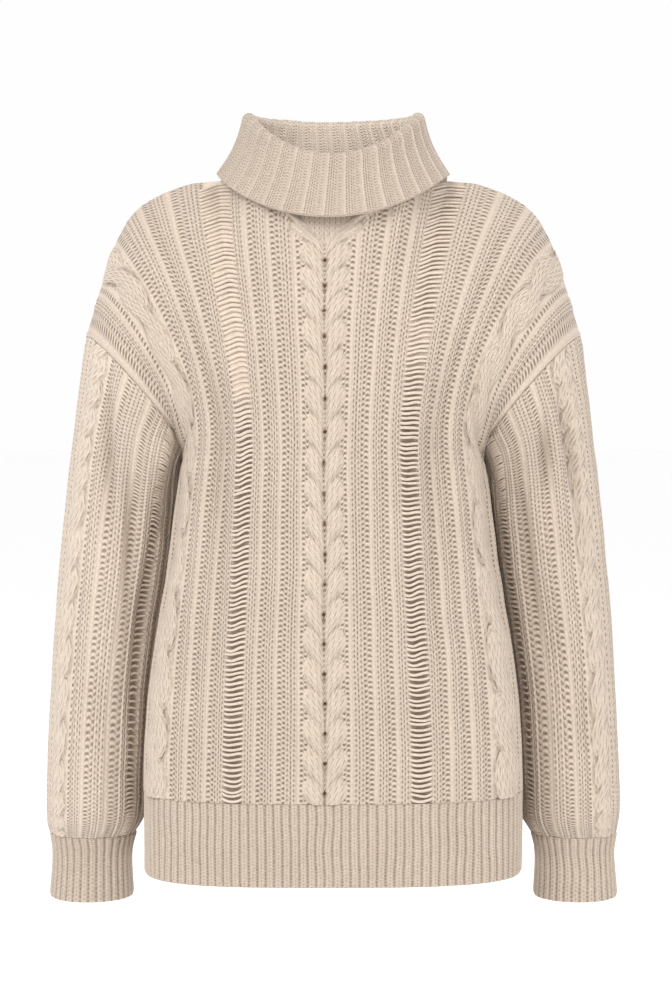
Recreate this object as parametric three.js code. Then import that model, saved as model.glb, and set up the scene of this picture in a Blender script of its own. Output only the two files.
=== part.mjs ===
import * as THREE from "three";

// A roll-neck cable sweater, filled out as if worn, in millimetres.
// The front faces -Y, X runs to the wearer's left and Z is up.
// The origin is the middle of the base of the neck.
//
// Every piece is a wall. Its outer points carry the raised knit and its inner points are plain.
// A wale is a column of stitches. Its place on a panel is the flat distance from the panel's middle.

// Cloth
const WALL = 2.4;
const SEAM_GAP = 0.3;
const RIB_RAISE = 1.8;
const LADDER_SINK = 0.9;
const BORDER_RAISE = 1.4;

// Panels
const HALF_PANEL = 229;
const UNDERARM_Z = -248;
const PANEL_BOTTOM_Z = -558;
const HEM_BOTTOM_Z = -632.4;
const LOWER_LENGTH = UNDERARM_Z - PANEL_BOTTOM_Z;
const NECK_WALE = 84;
// The garment hangs turned a little on its form, so the front's middle wales lie to one side.
const FRONT_TURN = -8;

// Centre plait: strands slope down and inwards from both sides.
const PLAIT = { half: 17, valley: 1.5, raise: 2.6, period: 26.2, slope: 1.43, samples: 4 };
// Side rope cable
const ROPE = { from: 149, to: 186, raise: 3.2, period: 53, lean: 0.5, samples: 4 };
// Sleeve rope cable, as a share of the ring counted from the underarm through the front
const SLEEVE_ROPE = { middle: 0.39, half: 0.03, raise: 2, period: 27, samples: 3 };

// The body's sections: an outline that is squarer than an ellipse, by its power.
const bodySections = [
  { z: HEM_BOTTOM_Z, halfWidth: 172.8, front: 95, back: 93, power: 3.1 },
  { z: -558, halfWidth: 173.2, front: 95.5, back: 93.5, power: 3.1 },
  { z: -514, halfWidth: 172.3, front: 96, back: 94, power: 3.05 },
  { z: -471, halfWidth: 169.2, front: 96.5, back: 94, power: 3 },
  { z: -429, halfWidth: 164.2, front: 97.5, back: 94, power: 2.95 },
  { z: -386, halfWidth: 157, front: 99, back: 94, power: 2.9 },
  { z: -349, halfWidth: 151, front: 100.5, back: 94.5, power: 2.85 },
  { z: -293, halfWidth: 144, front: 102.5, back: 95.5, power: 2.75 },
  { z: UNDERARM_Z, halfWidth: 138, front: 104, back: 96.5, power: 2.65 },
];

// The yoke, from the underarm row to the neckline and the shoulder seam.
// Each row is a wale: where it ends, and the way it leaves the underarm row and reaches that end.
const frontYoke = [
  { wale: 0, x: 0, y: -76, z: -28, leaveX: 0, leaveY: -8, leaveZ: 222, reachX: 0, reachY: 40, reachZ: 210 },
  { wale: 30, x: 39, y: -72, z: -23, leaveX: 2, leaveY: -10, leaveZ: 224, reachX: 15, reachY: 42, reachZ: 214 },
  { wale: 57, x: 71, y: -58, z: -10, leaveX: 3, leaveY: -20, leaveZ: 238, reachX: 20, reachY: 80, reachZ: 220 },
  { wale: 84, x: 107, y: 0, z: 3.5, leaveX: 3, leaveY: -60, leaveZ: 260, reachX: 26, reachY: 235, reachZ: 190 },
  { wale: 97, x: 132, y: 0, z: 1, leaveX: -4, leaveY: -58, leaveZ: 258, reachX: 40, reachY: 246, reachZ: 172 },
  { wale: 116, x: 164, y: 0, z: -11, leaveX: -14, leaveY: -56, leaveZ: 250, reachX: 58, reachY: 256, reachZ: 146 },
  { wale: 136, x: 188, y: 0, z: -29, leaveX: -24, leaveY: -64, leaveZ: 228, reachX: 74, reachY: 254, reachZ: 104 },
  { wale: 149, x: 203, y: 0, z: -56, leaveX: -30, leaveY: -80, leaveZ: 208, reachX: 80, reachY: 250, reachZ: 66 },
  { wale: 186, x: 215, y: 0, z: -92, leaveX: -32, leaveY: -150, leaveZ: 140, reachX: 70, reachY: 256, reachZ: 10 },
  { wale: 229, x: 230, y: 0, z: -142, leaveX: -30, leaveY: -248, leaveZ: 34, reachX: 30, reachY: 248, reachZ: -34 },
];
const backYoke = [
  { wale: 0, x: 0, y: 62, z: 9, leaveX: 0, leaveY: 4, leaveZ: 258, reachX: 0, reachY: -80, reachZ: 214 },
  { wale: 30, x: 41, y: 58, z: 9, leaveX: 2, leaveY: 4, leaveZ: 258, reachX: 16, reachY: -90, reachZ: 212 },
  { wale: 57, x: 75, y: 42, z: 7, leaveX: 3, leaveY: 12, leaveZ: 258, reachX: 22, reachY: -130, reachZ: 206 },
  { wale: 84, x: 107, y: 0, z: 3.5, leaveX: 3, leaveY: 40, leaveZ: 260, reachX: 26, reachY: -225, reachZ: 190 },
  { wale: 97, x: 132, y: 0, z: 1, leaveX: -4, leaveY: 40, leaveZ: 258, reachX: 40, reachY: -238, reachZ: 172 },
  { wale: 116, x: 164, y: 0, z: -11, leaveX: -14, leaveY: 42, leaveZ: 250, reachX: 58, reachY: -250, reachZ: 146 },
  { wale: 136, x: 188, y: 0, z: -29, leaveX: -24, leaveY: 54, leaveZ: 228, reachX: 74, reachY: -250, reachZ: 104 },
  { wale: 149, x: 203, y: 0, z: -56, leaveX: -30, leaveY: 72, leaveZ: 208, reachX: 80, reachY: -248, reachZ: 66 },
  { wale: 186, x: 215, y: 0, z: -92, leaveX: -32, leaveY: 146, leaveZ: 140, reachX: 70, reachY: -254, reachZ: 10 },
  { wale: 229, x: 230, y: 0, z: -142, leaveX: -30, leaveY: 248, leaveZ: 34, reachX: 30, reachY: -248, reachZ: -34 },
];

// The ribs' middles and the purl columns' middles on half a panel, and what each is raised by.
const plainWales = [
  { wale: PLAIT.half + 0.5, raise: 0 },
  { wale: 30.4, raise: RIB_RAISE },
  { wale: 41, raise: 0 },
  { wale: 51, raise: RIB_RAISE },
  { wale: 60, raise: 0 },
  { wale: 69.5, raise: RIB_RAISE },
  { wale: 76.5, raise: -LADDER_SINK },
  { wale: 90.5, raise: -LADDER_SINK },
  { wale: 97, raise: RIB_RAISE },
  { wale: 106.5, raise: 0 },
  { wale: 116, raise: RIB_RAISE },
  { wale: 126, raise: 0 },
  { wale: 136, raise: RIB_RAISE },
  { wale: ROPE.from - 2, raise: 0 },
  { wale: ROPE.to + 3, raise: 0 },
  { wale: 202, raise: RIB_RAISE * 0.8 },
  { wale: 214, raise: 0 },
];
const plaitWales = [5, 10, 15];
const ropeWales = [154, 162, 172, 181];
// Plain inner wales, close enough to follow the corners of the section
const innerWales = [0, 15, 30, 42, 53, 63, 73, 84, 97, 110, 124, 138, 152, 170, 188, 202, 216];

// Heights of the plain wales' points: 0 to 1 is the lower body, 1 to 2 is the yoke.
const panelHeights = [0, 0.22, 0.44, 0.62, 0.78, 0.9, 1, 1.12, 1.26, 1.42, 1.58, 1.73, 1.87, 2];

// Large folds: a trough or ridge along a panel, at a signed wale and height above the panel's foot.
const frontFolds = [
  { wale: -112, row: 300, width: 13, length: 120, depth: -4.5, slant: -0.06 },
  { wale: 110, row: 290, width: 13, length: 130, depth: -4.5, slant: 0.08 },
  { wale: -204, row: 352, width: 17, length: 34, depth: 5, slant: 0.2 },
  { wale: 205, row: 350, width: 17, length: 32, depth: 4, slant: -0.2 },
  { wale: -176, row: 236, width: 14, length: 60, depth: -3.5, slant: 0.1 },
  { wale: 180, row: 230, width: 14, length: 56, depth: -3, slant: -0.1 },
];
const backFolds = [
  { wale: -106, row: 300, width: 14, length: 120, depth: -5, slant: -0.08 },
  { wale: 112, row: 286, width: 14, length: 110, depth: -4.5, slant: 0.05 },
  { wale: -202, row: 350, width: 17, length: 34, depth: 4, slant: 0.2 },
  { wale: 203, row: 352, width: 17, length: 34, depth: 5, slant: -0.2 },
  { wale: 8, row: 210, width: 34, length: 90, depth: -4, slant: 0.1 },
];

// The sleeve's rings, each given by its outer and inner point seen from the front, its half depth
// and how far its middle lies behind the body's side.
const sleeveRings = [
  { outX: 230, outZ: -142, inX: 138, inZ: -248, halfDepth: 62, setBack: 0 },
  { outX: 234.7, outZ: -186, inX: 146.5, inZ: -262, halfDepth: 60, setBack: 2 },
  { outX: 241.5, outZ: -232, inX: 149, inZ: -284, halfDepth: 58.5, setBack: 14 },
  { outX: 248.5, outZ: -283, inX: 150.5, inZ: -312, halfDepth: 57.5, setBack: 24 },
  { outX: 255.8, outZ: -348, inX: 155, inZ: -358, halfDepth: 57, setBack: 30 },
  { outX: 261.2, outZ: -409, inX: 163, inZ: -409, halfDepth: 56, setBack: 33 },
  { outX: 265.3, outZ: -474, inX: 171.5, inZ: -474, halfDepth: 54, setBack: 33 },
  { outX: 268.2, outZ: -541, inX: 175.5, inZ: -541, halfDepth: 50, setBack: 32 },
  { outX: 269.1, outZ: -586, inX: 177.5, inZ: -586, halfDepth: 46, setBack: 31 },
  { outX: 266.2, outZ: -606, inX: 187, inZ: -606, halfDepth: 38, setBack: 30 },
];
const cuffRings = [
  { outX: 266.2, outZ: -606.3, inX: 187, inZ: -606.3, halfDepth: 38, setBack: 30 },
  { outX: 263.7, outZ: -628, inX: 191.3, inZ: -628, halfDepth: 34, setBack: 30.5 },
  { outX: 266.4, outZ: -666.4, inX: 189.8, inZ: -666.4, halfDepth: 35.5, setBack: 31 },
];
const SLEEVE_RIBS = 16;
const CUFF_RIBS = 32;
const HEM_RIBS = 60;
const COLLAR_RIBS = 35;

// Sleeve folds at a share of the ring from the underarm through the front, and a share of the length.
const sleeveFolds = {
  left: [
    { share: 0.33, down: 0.24, width: 0.028, length: 0.14, depth: -6, slant: 0.1 },
    { share: 0.25, down: 0.2, width: 0.024, length: 0.1, depth: -5, slant: -0.1 },
    { share: 0.16, down: 0.42, width: 0.03, length: 0.16, depth: -4, slant: 0.05 },
    { share: 0.72, down: 0.3, width: 0.03, length: 0.2, depth: -5, slant: 0.1 },
  ],
  right: [
    { share: 0.3, down: 0.28, width: 0.03, length: 0.16, depth: -6, slant: -0.18 },
    { share: 0.19, down: 0.42, width: 0.026, length: 0.12, depth: -5, slant: -0.12 },
    { share: 0.12, down: 0.55, width: 0.03, length: 0.14, depth: -4, slant: 0 },
    { share: 0.7, down: 0.34, width: 0.03, length: 0.2, depth: -5, slant: -0.1 },
  ],
};

// The collar's rings at the front, the sides and the back: the fold's middle and the turned edge.
const COLLAR = {
  foldRadius: 4.5,
  lift: 0.65,
  thickness: 3,
  fold: {
    sideX: 78.5, frontY: -71, backY: 58, frontZ: 15.5, sideZ: 61, backZ: 60, turn: -1, roundness: 1,
  },
  edge: {
    sideX: 107, frontY: -92.5, backY: 77, frontZ: -37, sideZ: 9, backZ: 12, turn: -5, roundness: 0.86,
  },
  flare: 8,
};

const knitColour = 0xd4c3b2;

// A smooth curve through a table's rows, read at a value of its key column.
function readTable(table, key, at, column) {
  let i = 0;
  while (i < table.length - 2 && at > table[i + 1][key]) i += 1;
  const span = table[i + 1][key] - table[i][key];
  const share = (at - table[i][key]) / span;
  const slopeAt = (k) => {
    const before = table[Math.max(k - 1, 0)];
    const after = table[Math.min(k + 1, table.length - 1)];
    return (after[column] - before[column]) / (after[key] - before[key]);
  };
  return hermite(
    table[i][column],
    slopeAt(i) * span,
    table[i + 1][column],
    slopeAt(i + 1) * span,
    share,
  );
}

function hermite(start, leave, end, reach, share) {
  const squared = share * share;
  const cubed = squared * share;
  return (
    (2 * cubed - 3 * squared + 1) * start +
    (cubed - 2 * squared + share) * leave +
    (3 * squared - 2 * cubed) * end +
    (cubed - squared) * reach
  );
}

// A quarter of a squared ellipse from the front's middle to the side, read by its share of the length.
const quarterSteps = 96;
const quarterCache = new Map();
function quarterPoint(halfWidth, halfDepth, power, share) {
  const name = [halfWidth, halfDepth, power].map((v) => v.toFixed(3)).join();
  if (!quarterCache.has(name)) {
    const points = [];
    let length = 0;
    for (let i = 0; i <= quarterSteps; i += 1) {
      const angle = (Math.PI / 2) * (i / quarterSteps);
      const x = halfWidth * Math.sin(angle) ** (2 / power);
      const y = halfDepth * Math.max(Math.cos(angle), 0) ** (2 / power);
      if (i > 0) length += Math.hypot(x - points[i - 1].x, y - points[i - 1].y);
      points.push({ x, y: i === quarterSteps ? 0 : y, length });
    }
    quarterCache.set(name, points);
  }
  const points = quarterCache.get(name);
  const target = share * points[quarterSteps].length;
  let i = 0;
  while (i < quarterSteps - 1 && points[i + 1].length < target) i += 1;
  const part = (target - points[i].length) / (points[i + 1].length - points[i].length);
  return {
    x: points[i].x + part * (points[i + 1].x - points[i].x),
    y: points[i].y + part * (points[i + 1].y - points[i].y),
  };
}

// A panel's faces: the front lies at -Y and the back at +Y.
const faces = {
  front: { sign: -1, depth: "front", yoke: frontYoke, folds: frontFolds, turn: FRONT_TURN },
  back: { sign: 1, depth: "back", yoke: backYoke, folds: backFolds, turn: 0 },
};

// The turn is whole at the middle and fades out at the side seams.
function turnShare(across) {
  return (1 - across * across) ** 2;
}

// Towards the shoulder seam the turn fades, so that front and back meet.
function seamHold(wale, share) {
  return 1 - share ** 4 * Math.min(Math.abs(wale) / NECK_WALE, 1);
}

// A point of the body's section at a height below the underarm, or of the hem.
function sectionPoint(face, wale, z) {
  const at = (column) => readTable(bodySections, "z", z, column);
  const across = Math.abs(wale) / HALF_PANEL;
  const flat = quarterPoint(at("halfWidth"), at(face.depth), at("power"), across);
  const turned = flat.x * Math.sign(wale) + face.turn * turnShare(across);
  return new THREE.Vector3(turned, face.sign * flat.y, z);
}

function waleRow(face, wale) {
  const row = {};
  for (const column of Object.keys(face.yoke[0])) {
    row[column] = readTable(face.yoke, "wale", Math.abs(wale), column);
  }
  return row;
}

function yokeLength(face, wale) {
  const row = waleRow(face, wale);
  const straight = Math.hypot(row.leaveX, row.leaveY, row.leaveZ);
  return 0.5 * (straight + Math.hypot(row.reachX, row.reachY, row.reachZ)) * 0.94;
}

// A panel's base surface: height 0 to 1 below the underarm, 1 to 2 in the yoke.
function panelPoint(face, wale, height) {
  if (height <= 1) {
    return sectionPoint(face, wale, PANEL_BOTTOM_Z + height * LOWER_LENGTH);
  }
  const share = height - 1;
  const across = Math.abs(wale) / HALF_PANEL;
  const side = Math.sign(wale);
  const start = sectionPoint(face, wale, UNDERARM_Z);
  const row = waleRow(face, wale);
  const turn = face.turn * turnShare(across) * seamHold(wale, share);
  return new THREE.Vector3(
    hermite(start.x, side * row.leaveX, side * row.x + turn, side * row.reachX, share),
    hermite(start.y, row.leaveY, row.y, row.reachY, share),
    hermite(start.z, row.leaveZ, row.z, row.reachZ, share),
  );
}

// The outward direction along the armhole: down at the underarm, forward, then out at the top.
function armholeNormal(face, side, share) {
  const angle = Math.PI * share;
  const low = (1 + Math.cos(angle)) / 2;
  const high = (1 - Math.cos(angle)) / 2;
  return new THREE.Vector3(
    side * (0.25 * low + 0.98 * high),
    face.sign * 3 * Math.sin(angle),
    -0.97 * low + 0.2 * high,
  ).normalize();
}

// The small step from the panel's edge to the sleeve's: outwards at the underarm, down at the top.
function seamPush(side, share) {
  const high = (1 - Math.cos(Math.PI * share)) / 2;
  const low = 1 - high;
  const push = new THREE.Vector3(side * (0.97 * low + 0.2 * high), 0, 0.25 * low - 0.98 * high);
  return push.setLength(SEAM_GAP);
}

function neckNormal(point) {
  return new THREE.Vector3(point.x / 107, point.y / 70, 0.45).normalize();
}

function panelNormal(face, wale, height) {
  const atSide = Math.abs(wale) > HALF_PANEL - 0.01;
  const atTop = height > 1.999;
  if (atSide && height >= 1) return armholeNormal(face, Math.sign(wale), height - 1);
  if (atTop && Math.abs(wale) <= NECK_WALE) return neckNormal(panelPoint(face, wale, 2));
  const reach = 0.75;
  const step = 0.012;
  const low = Math.max(wale - reach, -HALF_PANEL);
  const high = Math.min(wale + reach, HALF_PANEL);
  const under = Math.max(height - step, 0);
  const over = Math.min(height + step, 2);
  const along = panelPoint(face, high, height).sub(panelPoint(face, low, height));
  const up = panelPoint(face, wale, over).sub(panelPoint(face, wale, under));
  const normal = along.cross(up).multiplyScalar(-face.sign);
  if (atSide || atTop) normal.y = 0;
  return normal.normalize();
}

function rowHeight(face, wale, height) {
  if (height <= 1) return height * LOWER_LENGTH;
  return LOWER_LENGTH + (height - 1) * yokeLength(face, wale);
}

function foldDepth(folds, wale, row) {
  let depth = 0;
  for (const fold of folds) {
    const away = (wale - fold.wale - fold.slant * (row - fold.row)) / fold.width;
    const along = (row - fold.row) / fold.length;
    depth += fold.depth * Math.exp(-away * away - along * along);
  }
  return depth;
}

// Folds fade out at the panel's edges, which meet the other pieces.
function edgeFade(wale, height) {
  const side = Math.min((HALF_PANEL - Math.abs(wale)) / 16, 1);
  const foot = Math.min(height / 0.12, 1);
  const top = Math.min((2 - height) / 0.15, 1);
  return Math.max(Math.min(side, foot, top), 0);
}

function plaitRaise(wale, row) {
  const across = (Math.abs(wale) - PLAIT.valley) / (PLAIT.half - PLAIT.valley);
  const dome = Math.sin(Math.PI * Math.min(Math.max(across, 0), 1)) ** 0.6;
  const phase = (2 * Math.PI * (row - PLAIT.slope * Math.abs(wale))) / PLAIT.period;
  return PLAIT.raise * dome * (0.62 + 0.38 * Math.cos(phase));
}

function ropeRaise(wale, row) {
  const across = (Math.abs(wale) - ROPE.from) / (ROPE.to - ROPE.from);
  const dome = Math.sin(Math.PI * Math.min(Math.max(across, 0), 1)) ** 0.6;
  // Both ropes twist the same way, so their strands lean to the wearer's left as they run down.
  const phase = 2 * Math.PI * (row / ROPE.period + Math.sign(wale) * ROPE.lean * (across - 0.5));
  return ROPE.raise * dome * (0.62 + 0.38 * Math.cos(phase));
}

// Steps the clearance in at the crease under the arm, where body and sleeve lie close.
function creaseFade(wale, height) {
  const near = Math.hypot((HALF_PANEL - Math.abs(wale)) / 22, (height - 1) / 0.2);
  return Math.min(near, 1);
}

function heightsEvery(face, wale, step) {
  const length = rowHeight(face, wale, 2);
  const count = Math.round(length / step);
  const heights = [];
  for (let i = 0; i <= count; i += 1) {
    const row = (i * length) / count;
    const inYoke = (row - LOWER_LENGTH) / yokeLength(face, wale);
    heights.push(row <= LOWER_LENGTH ? row / LOWER_LENGTH : 1 + inYoke);
  }
  heights[count] = 2;
  return heights;
}

// A list of points along one wale, each kept on its own side of the seam plane.
function panelLine(face, wale, heights, raiseAt) {
  return {
    at: wale,
    points: heights.map((height) => {
      const row = rowHeight(face, wale, height);
      const fold = foldDepth(face.folds, wale, row) * edgeFade(wale, height);
      const raise = raiseAt(wale, row) * creaseFade(wale, height) + fold;
      const point = panelPoint(face, wale, height);
      point.addScaledVector(panelNormal(face, wale, height), raise);
      point.y = face.sign * Math.max(face.sign * point.y, SEAM_GAP / 2);
      return { at: height, point };
    }),
  };
}

function mirrored(values) {
  const both = [];
  for (const value of values) {
    if (value.wale > 0) both.push({ ...value, wale: -value.wale });
    both.push(value);
  }
  return both.sort((a, b) => a.wale - b.wale);
}

// The heights at which the sleeve's lines meet the armhole, on top of the side seam's own.
function armholeHeights() {
  const heights = panelHeights.filter((height) => height < 1);
  for (let i = 0; i <= SLEEVE_RIBS; i += 1) heights.push(1 + i / SLEEVE_RIBS);
  return heights;
}

function panelGeometry(face) {
  const plain = plainWales.map((column) => ({
    wale: column.wale,
    heights: panelHeights,
    raiseAt: () => column.raise,
  }));
  const plait = plaitWales.map((wale) => ({
    wale,
    heights: heightsEvery(face, wale, PLAIT.period / PLAIT.samples),
    raiseAt: plaitRaise,
  }));
  const rope = ropeWales.map((wale) => ({
    wale,
    heights: heightsEvery(face, wale, ROPE.period / ROPE.samples),
    raiseAt: ropeRaise,
  }));
  const flat = () => 0;
  const inward = () => -WALL;
  const middle = { wale: 0, heights: panelHeights, raiseAt: flat };
  const edge = { wale: HALF_PANEL, heights: armholeHeights(), raiseAt: flat };
  const outer = mirrored([middle, ...plain, ...plait, ...rope, edge]).map((line) =>
    panelLine(face, line.wale, line.heights, line.raiseAt),
  );
  const inner = mirrored([
    ...innerWales.map((wale) => ({ wale, heights: panelHeights })),
    { wale: HALF_PANEL, heights: edge.heights },
  ]).map((line) => innerPanelLine(face, line.wale, line.heights, inward));
  return wallGeometry(outer, inner, false);
}

// Inner points are set back by the wall, without the fade that the raised knit has.
function innerPanelLine(face, wale, heights, inward) {
  return {
    at: wale,
    points: heights.map((height) => {
      const row = rowHeight(face, wale, height);
      const fold = foldDepth(face.folds, wale, row) * edgeFade(wale, height);
      const point = panelPoint(face, wale, height);
      point.addScaledVector(panelNormal(face, wale, height), inward() + fold);
      point.y = face.sign * Math.max(face.sign * point.y, SEAM_GAP / 2);
      return { at: height, point };
    }),
  };
}

// The hem rib: crests and valleys run straight down from the panel's foot.
function hemGeometry(face) {
  const heights = [0, 1];
  const top = PANEL_BOTTOM_Z - SEAM_GAP;
  const line = (wale, raise) => ({
    at: wale,
    points: heights.map((height) => {
      const z = HEM_BOTTOM_Z + height * (top - HEM_BOTTOM_Z);
      const point = sectionPoint(face, wale, z);
      point.addScaledVector(sectionNormal(face, wale, z), raise);
      point.y = face.sign * Math.max(face.sign * point.y, SEAM_GAP / 2);
      return { at: height, point };
    }),
  });
  const outer = [];
  for (let i = 0; i <= 2 * HEM_RIBS; i += 1) {
    const wale = HALF_PANEL * (i / HEM_RIBS - 1);
    outer.push(line(wale, i % 2 === 1 ? BORDER_RAISE : 0));
  }
  const inner = [];
  for (let i = 0; i <= 30; i += 1) inner.push(line(HALF_PANEL * (i / 15 - 1), -WALL));
  return wallGeometry(outer, inner, false);
}

function sectionNormal(face, wale, z) {
  const reach = 0.75;
  const low = Math.max(wale - reach, -HALF_PANEL);
  const high = Math.min(wale + reach, HALF_PANEL);
  const along = sectionPoint(face, high, z).sub(sectionPoint(face, low, z));
  if (HALF_PANEL - Math.abs(wale) < 0.01) return new THREE.Vector3(Math.sign(wale), 0, 0);
  return new THREE.Vector3(along.y, -along.x, 0).multiplyScalar(-face.sign).normalize();
}

// A point of a ring table at a share of its length and a share of the ring.
function ringPoint(rings, side, down, share) {
  const rows = rings.map((ring, index) => ({ ...ring, at: index / (rings.length - 1) }));
  const at = (column) => readTable(rows, "at", down, column);
  const angle = 2 * Math.PI * share;
  const spread = Math.cos(angle);
  return new THREE.Vector3(
    side * ((at("outX") + at("inX")) / 2 - (spread * (at("outX") - at("inX"))) / 2),
    at("setBack") - at("halfDepth") * Math.sin(angle),
    (at("outZ") + at("inZ")) / 2 - (spread * (at("outZ") - at("inZ"))) / 2,
  );
}

// The armhole's edge as the sleeve meets it: the front panel's edge, then the back panel's.
function armholePoint(side, share) {
  const face = share <= 0.5 ? faces.front : faces.back;
  const height = 1 + (share <= 0.5 ? 2 * share : 2 - 2 * share);
  const point = panelPoint(face, side * HALF_PANEL, height);
  point.y = face.sign * Math.max(face.sign * point.y, SEAM_GAP / 2);
  return point;
}

const BLEND_DOWN = 0.3;
function sleevePoint(side, down, share) {
  const point = ringPoint(sleeveRings, side, down, share);
  const fade = Math.max(1 - down / BLEND_DOWN, 0) ** 2;
  const shift = armholePoint(side, share).sub(ringPoint(sleeveRings, side, 0, share));
  return point.addScaledVector(shift, fade);
}

function ringNormal(pointAt, down, share) {
  const step = 0.004;
  const around = pointAt(down, share + step).sub(pointAt(down, share - step));
  const under = Math.min(down + step, 1);
  const over = Math.max(down - step, 0);
  const along = pointAt(under, share).sub(pointAt(over, share));
  const normal = around.cross(along).normalize();
  const middle = pointAt(down, 0).add(pointAt(down, 0.5)).multiplyScalar(0.5);
  const outward = pointAt(down, share).sub(middle);
  return normal.dot(outward) < 0 ? normal.negate() : normal;
}

const sleeveDowns = [0, 0.035, 0.08, 0.14, 0.21, 0.3, 0.4, 0.52, 0.64, 0.76, 0.88, 0.95, 1];
const SLEEVE_LENGTH = 430;

function sleeveGeometry(side, folds) {
  const wrap = (share) => share - Math.floor(share);
  const surface = (down, share) => sleevePoint(side, down, wrap(share));
  const cloth = (down, share, raise) => {
    const point = surface(down, share);
    let depth = 0;
    for (const fold of folds) {
      const away = (share - fold.share - fold.slant * (down - fold.down)) / fold.width;
      const along = (down - fold.down) / fold.length;
      depth += fold.depth * Math.exp(-away * away - along * along);
    }
    if (down === 0) {
      const front = share <= 0.5;
      const part = front ? 2 * share : 2 - 2 * share;
      const normal = armholeNormal(front ? faces.front : faces.back, side, part);
      return point.addScaledVector(normal, Math.min(raise, 0)).add(seamPush(side, part));
    }
    const fade = Math.min(down / 0.08, (1 - down) / 0.1, 1);
    const near = Math.min(Math.min(share, 1 - share) / 0.07, 1);
    const raised = raise > 0 ? raise * near * Math.min(down / 0.1, 1) : raise;
    const level = point.z;
    point.addScaledVector(ringNormal(surface, down, share), raised + depth * fade);
    if (down === 1) point.z = level;
    return point;
  };
  const line = (share, downs, raiseAt) => ({
    at: share,
    points: [...downs]
      .reverse()
      .map((down) => ({ at: 1 - down, point: cloth(down, share, raiseAt(down)) })),
  });
  const shares = [];
  for (let i = 0; i < 2 * SLEEVE_RIBS; i += 1) shares.push(i / (2 * SLEEVE_RIBS));
  const outer = shares.map((share, i) => {
    const inRope = Math.abs(share - SLEEVE_ROPE.middle) < SLEEVE_ROPE.half;
    if (!inRope) return line(share, sleeveDowns, () => (i % 2 === 1 ? RIB_RAISE : 0));
    const steps = Math.round((SLEEVE_LENGTH / SLEEVE_ROPE.period) * SLEEVE_ROPE.samples);
    const downs = [];
    for (let k = 0; k <= steps; k += 1) downs.push(k / steps);
    return line(share, downs, (down) => {
      const turns = (down * SLEEVE_LENGTH) / SLEEVE_ROPE.period + (side * (i % 2)) / 2;
      return SLEEVE_ROPE.raise * (0.65 + 0.35 * Math.cos(2 * Math.PI * turns));
    });
  });
  const inner = shares
    .filter((share, i) => i % 2 === 0)
    .map((share) => line(share, sleeveDowns, () => -WALL));
  return wallGeometry(outer, inner, true);
}

function cuffGeometry(side) {
  const wrap = (share) => share - Math.floor(share);
  const surface = (down, share) => ringPoint(cuffRings, side, down, wrap(share));
  const downs = [1, 0.45, 0];
  const line = (share, raise) => ({
    at: share,
    points: downs.map((down) => {
      const point = surface(down, share);
      const level = point.z;
      point.addScaledVector(ringNormal(surface, down, share), raise);
      if (down === 0 || down === 1) point.z = level;
      return { at: 1 - down, point };
    }),
  });
  const outer = [];
  for (let i = 0; i < 2 * CUFF_RIBS; i += 1) {
    outer.push(line(i / (2 * CUFF_RIBS), i % 2 === 1 ? BORDER_RAISE : 0));
  }
  const inner = [];
  for (let i = 0; i < 22; i += 1) inner.push(line(i / 22, -WALL));
  return wallGeometry(outer, inner, true);
}

// The neckline as one closed curve of both panels' edges, read by its share of the length.
const neckCurve = (() => {
  const points = [];
  const steps = 48;
  for (const [face, from, to] of [
    [faces.front, 0, NECK_WALE],
    [faces.back, NECK_WALE, -NECK_WALE],
    [faces.front, -NECK_WALE, 0],
  ]) {
    const count = face === faces.back ? 2 * steps : steps;
    for (let i = 0; i < count; i += 1) {
      points.push(panelPoint(face, from + ((to - from) * i) / count, 2));
    }
  }
  const lengths = [0];
  for (let i = 1; i <= points.length; i += 1) {
    lengths.push(lengths[i - 1] + points[i % points.length].distanceTo(points[i - 1]));
  }
  return { points, lengths, total: lengths[points.length] };
})();

function neckPoint(share) {
  const target = (share - Math.floor(share)) * neckCurve.total;
  let i = 0;
  while (neckCurve.lengths[i + 1] < target) i += 1;
  const part =
    (target - neckCurve.lengths[i]) / (neckCurve.lengths[i + 1] - neckCurve.lengths[i]);
  const next = neckCurve.points[(i + 1) % neckCurve.points.length];
  return neckCurve.points[i].clone().lerp(next, part);
}

// A collar ring: an oval whose height changes from the front over the sides to the back.
function collarRing(sizes, share) {
  const angle = 2 * Math.PI * share;
  const ahead = Math.cos(angle);
  const depth = ahead > 0 ? sizes.frontY : sizes.backY;
  const end = ahead > 0 ? sizes.frontZ : sizes.backZ;
  const rise = Math.abs(ahead) ** 1.6;
  const turn = sizes.turn * Math.max(ahead, 0);
  return new THREE.Vector3(
    sizes.sideX * Math.sin(angle) + turn,
    depth * Math.abs(ahead) ** sizes.roundness,
    sizes.sideZ + (end - sizes.sideZ) * rise,
  );
}

// The collar's middle line at one share of the ring: up the stand, over the fold and down.
const collarSteps = [
  { at: 0, part: "stand", share: 0 },
  { at: 0.25, part: "stand", share: 0.55 },
  { at: 0.4, part: "arc", share: 0 },
  { at: 0.46, part: "arc", share: 0.33 },
  { at: 0.54, part: "arc", share: 0.67 },
  { at: 0.6, part: "arc", share: 1 },
  { at: 0.74, part: "turned", share: 0.36 },
  { at: 0.87, part: "turned", share: 0.7 },
  { at: 1, part: "turned", share: 1 },
];

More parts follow.
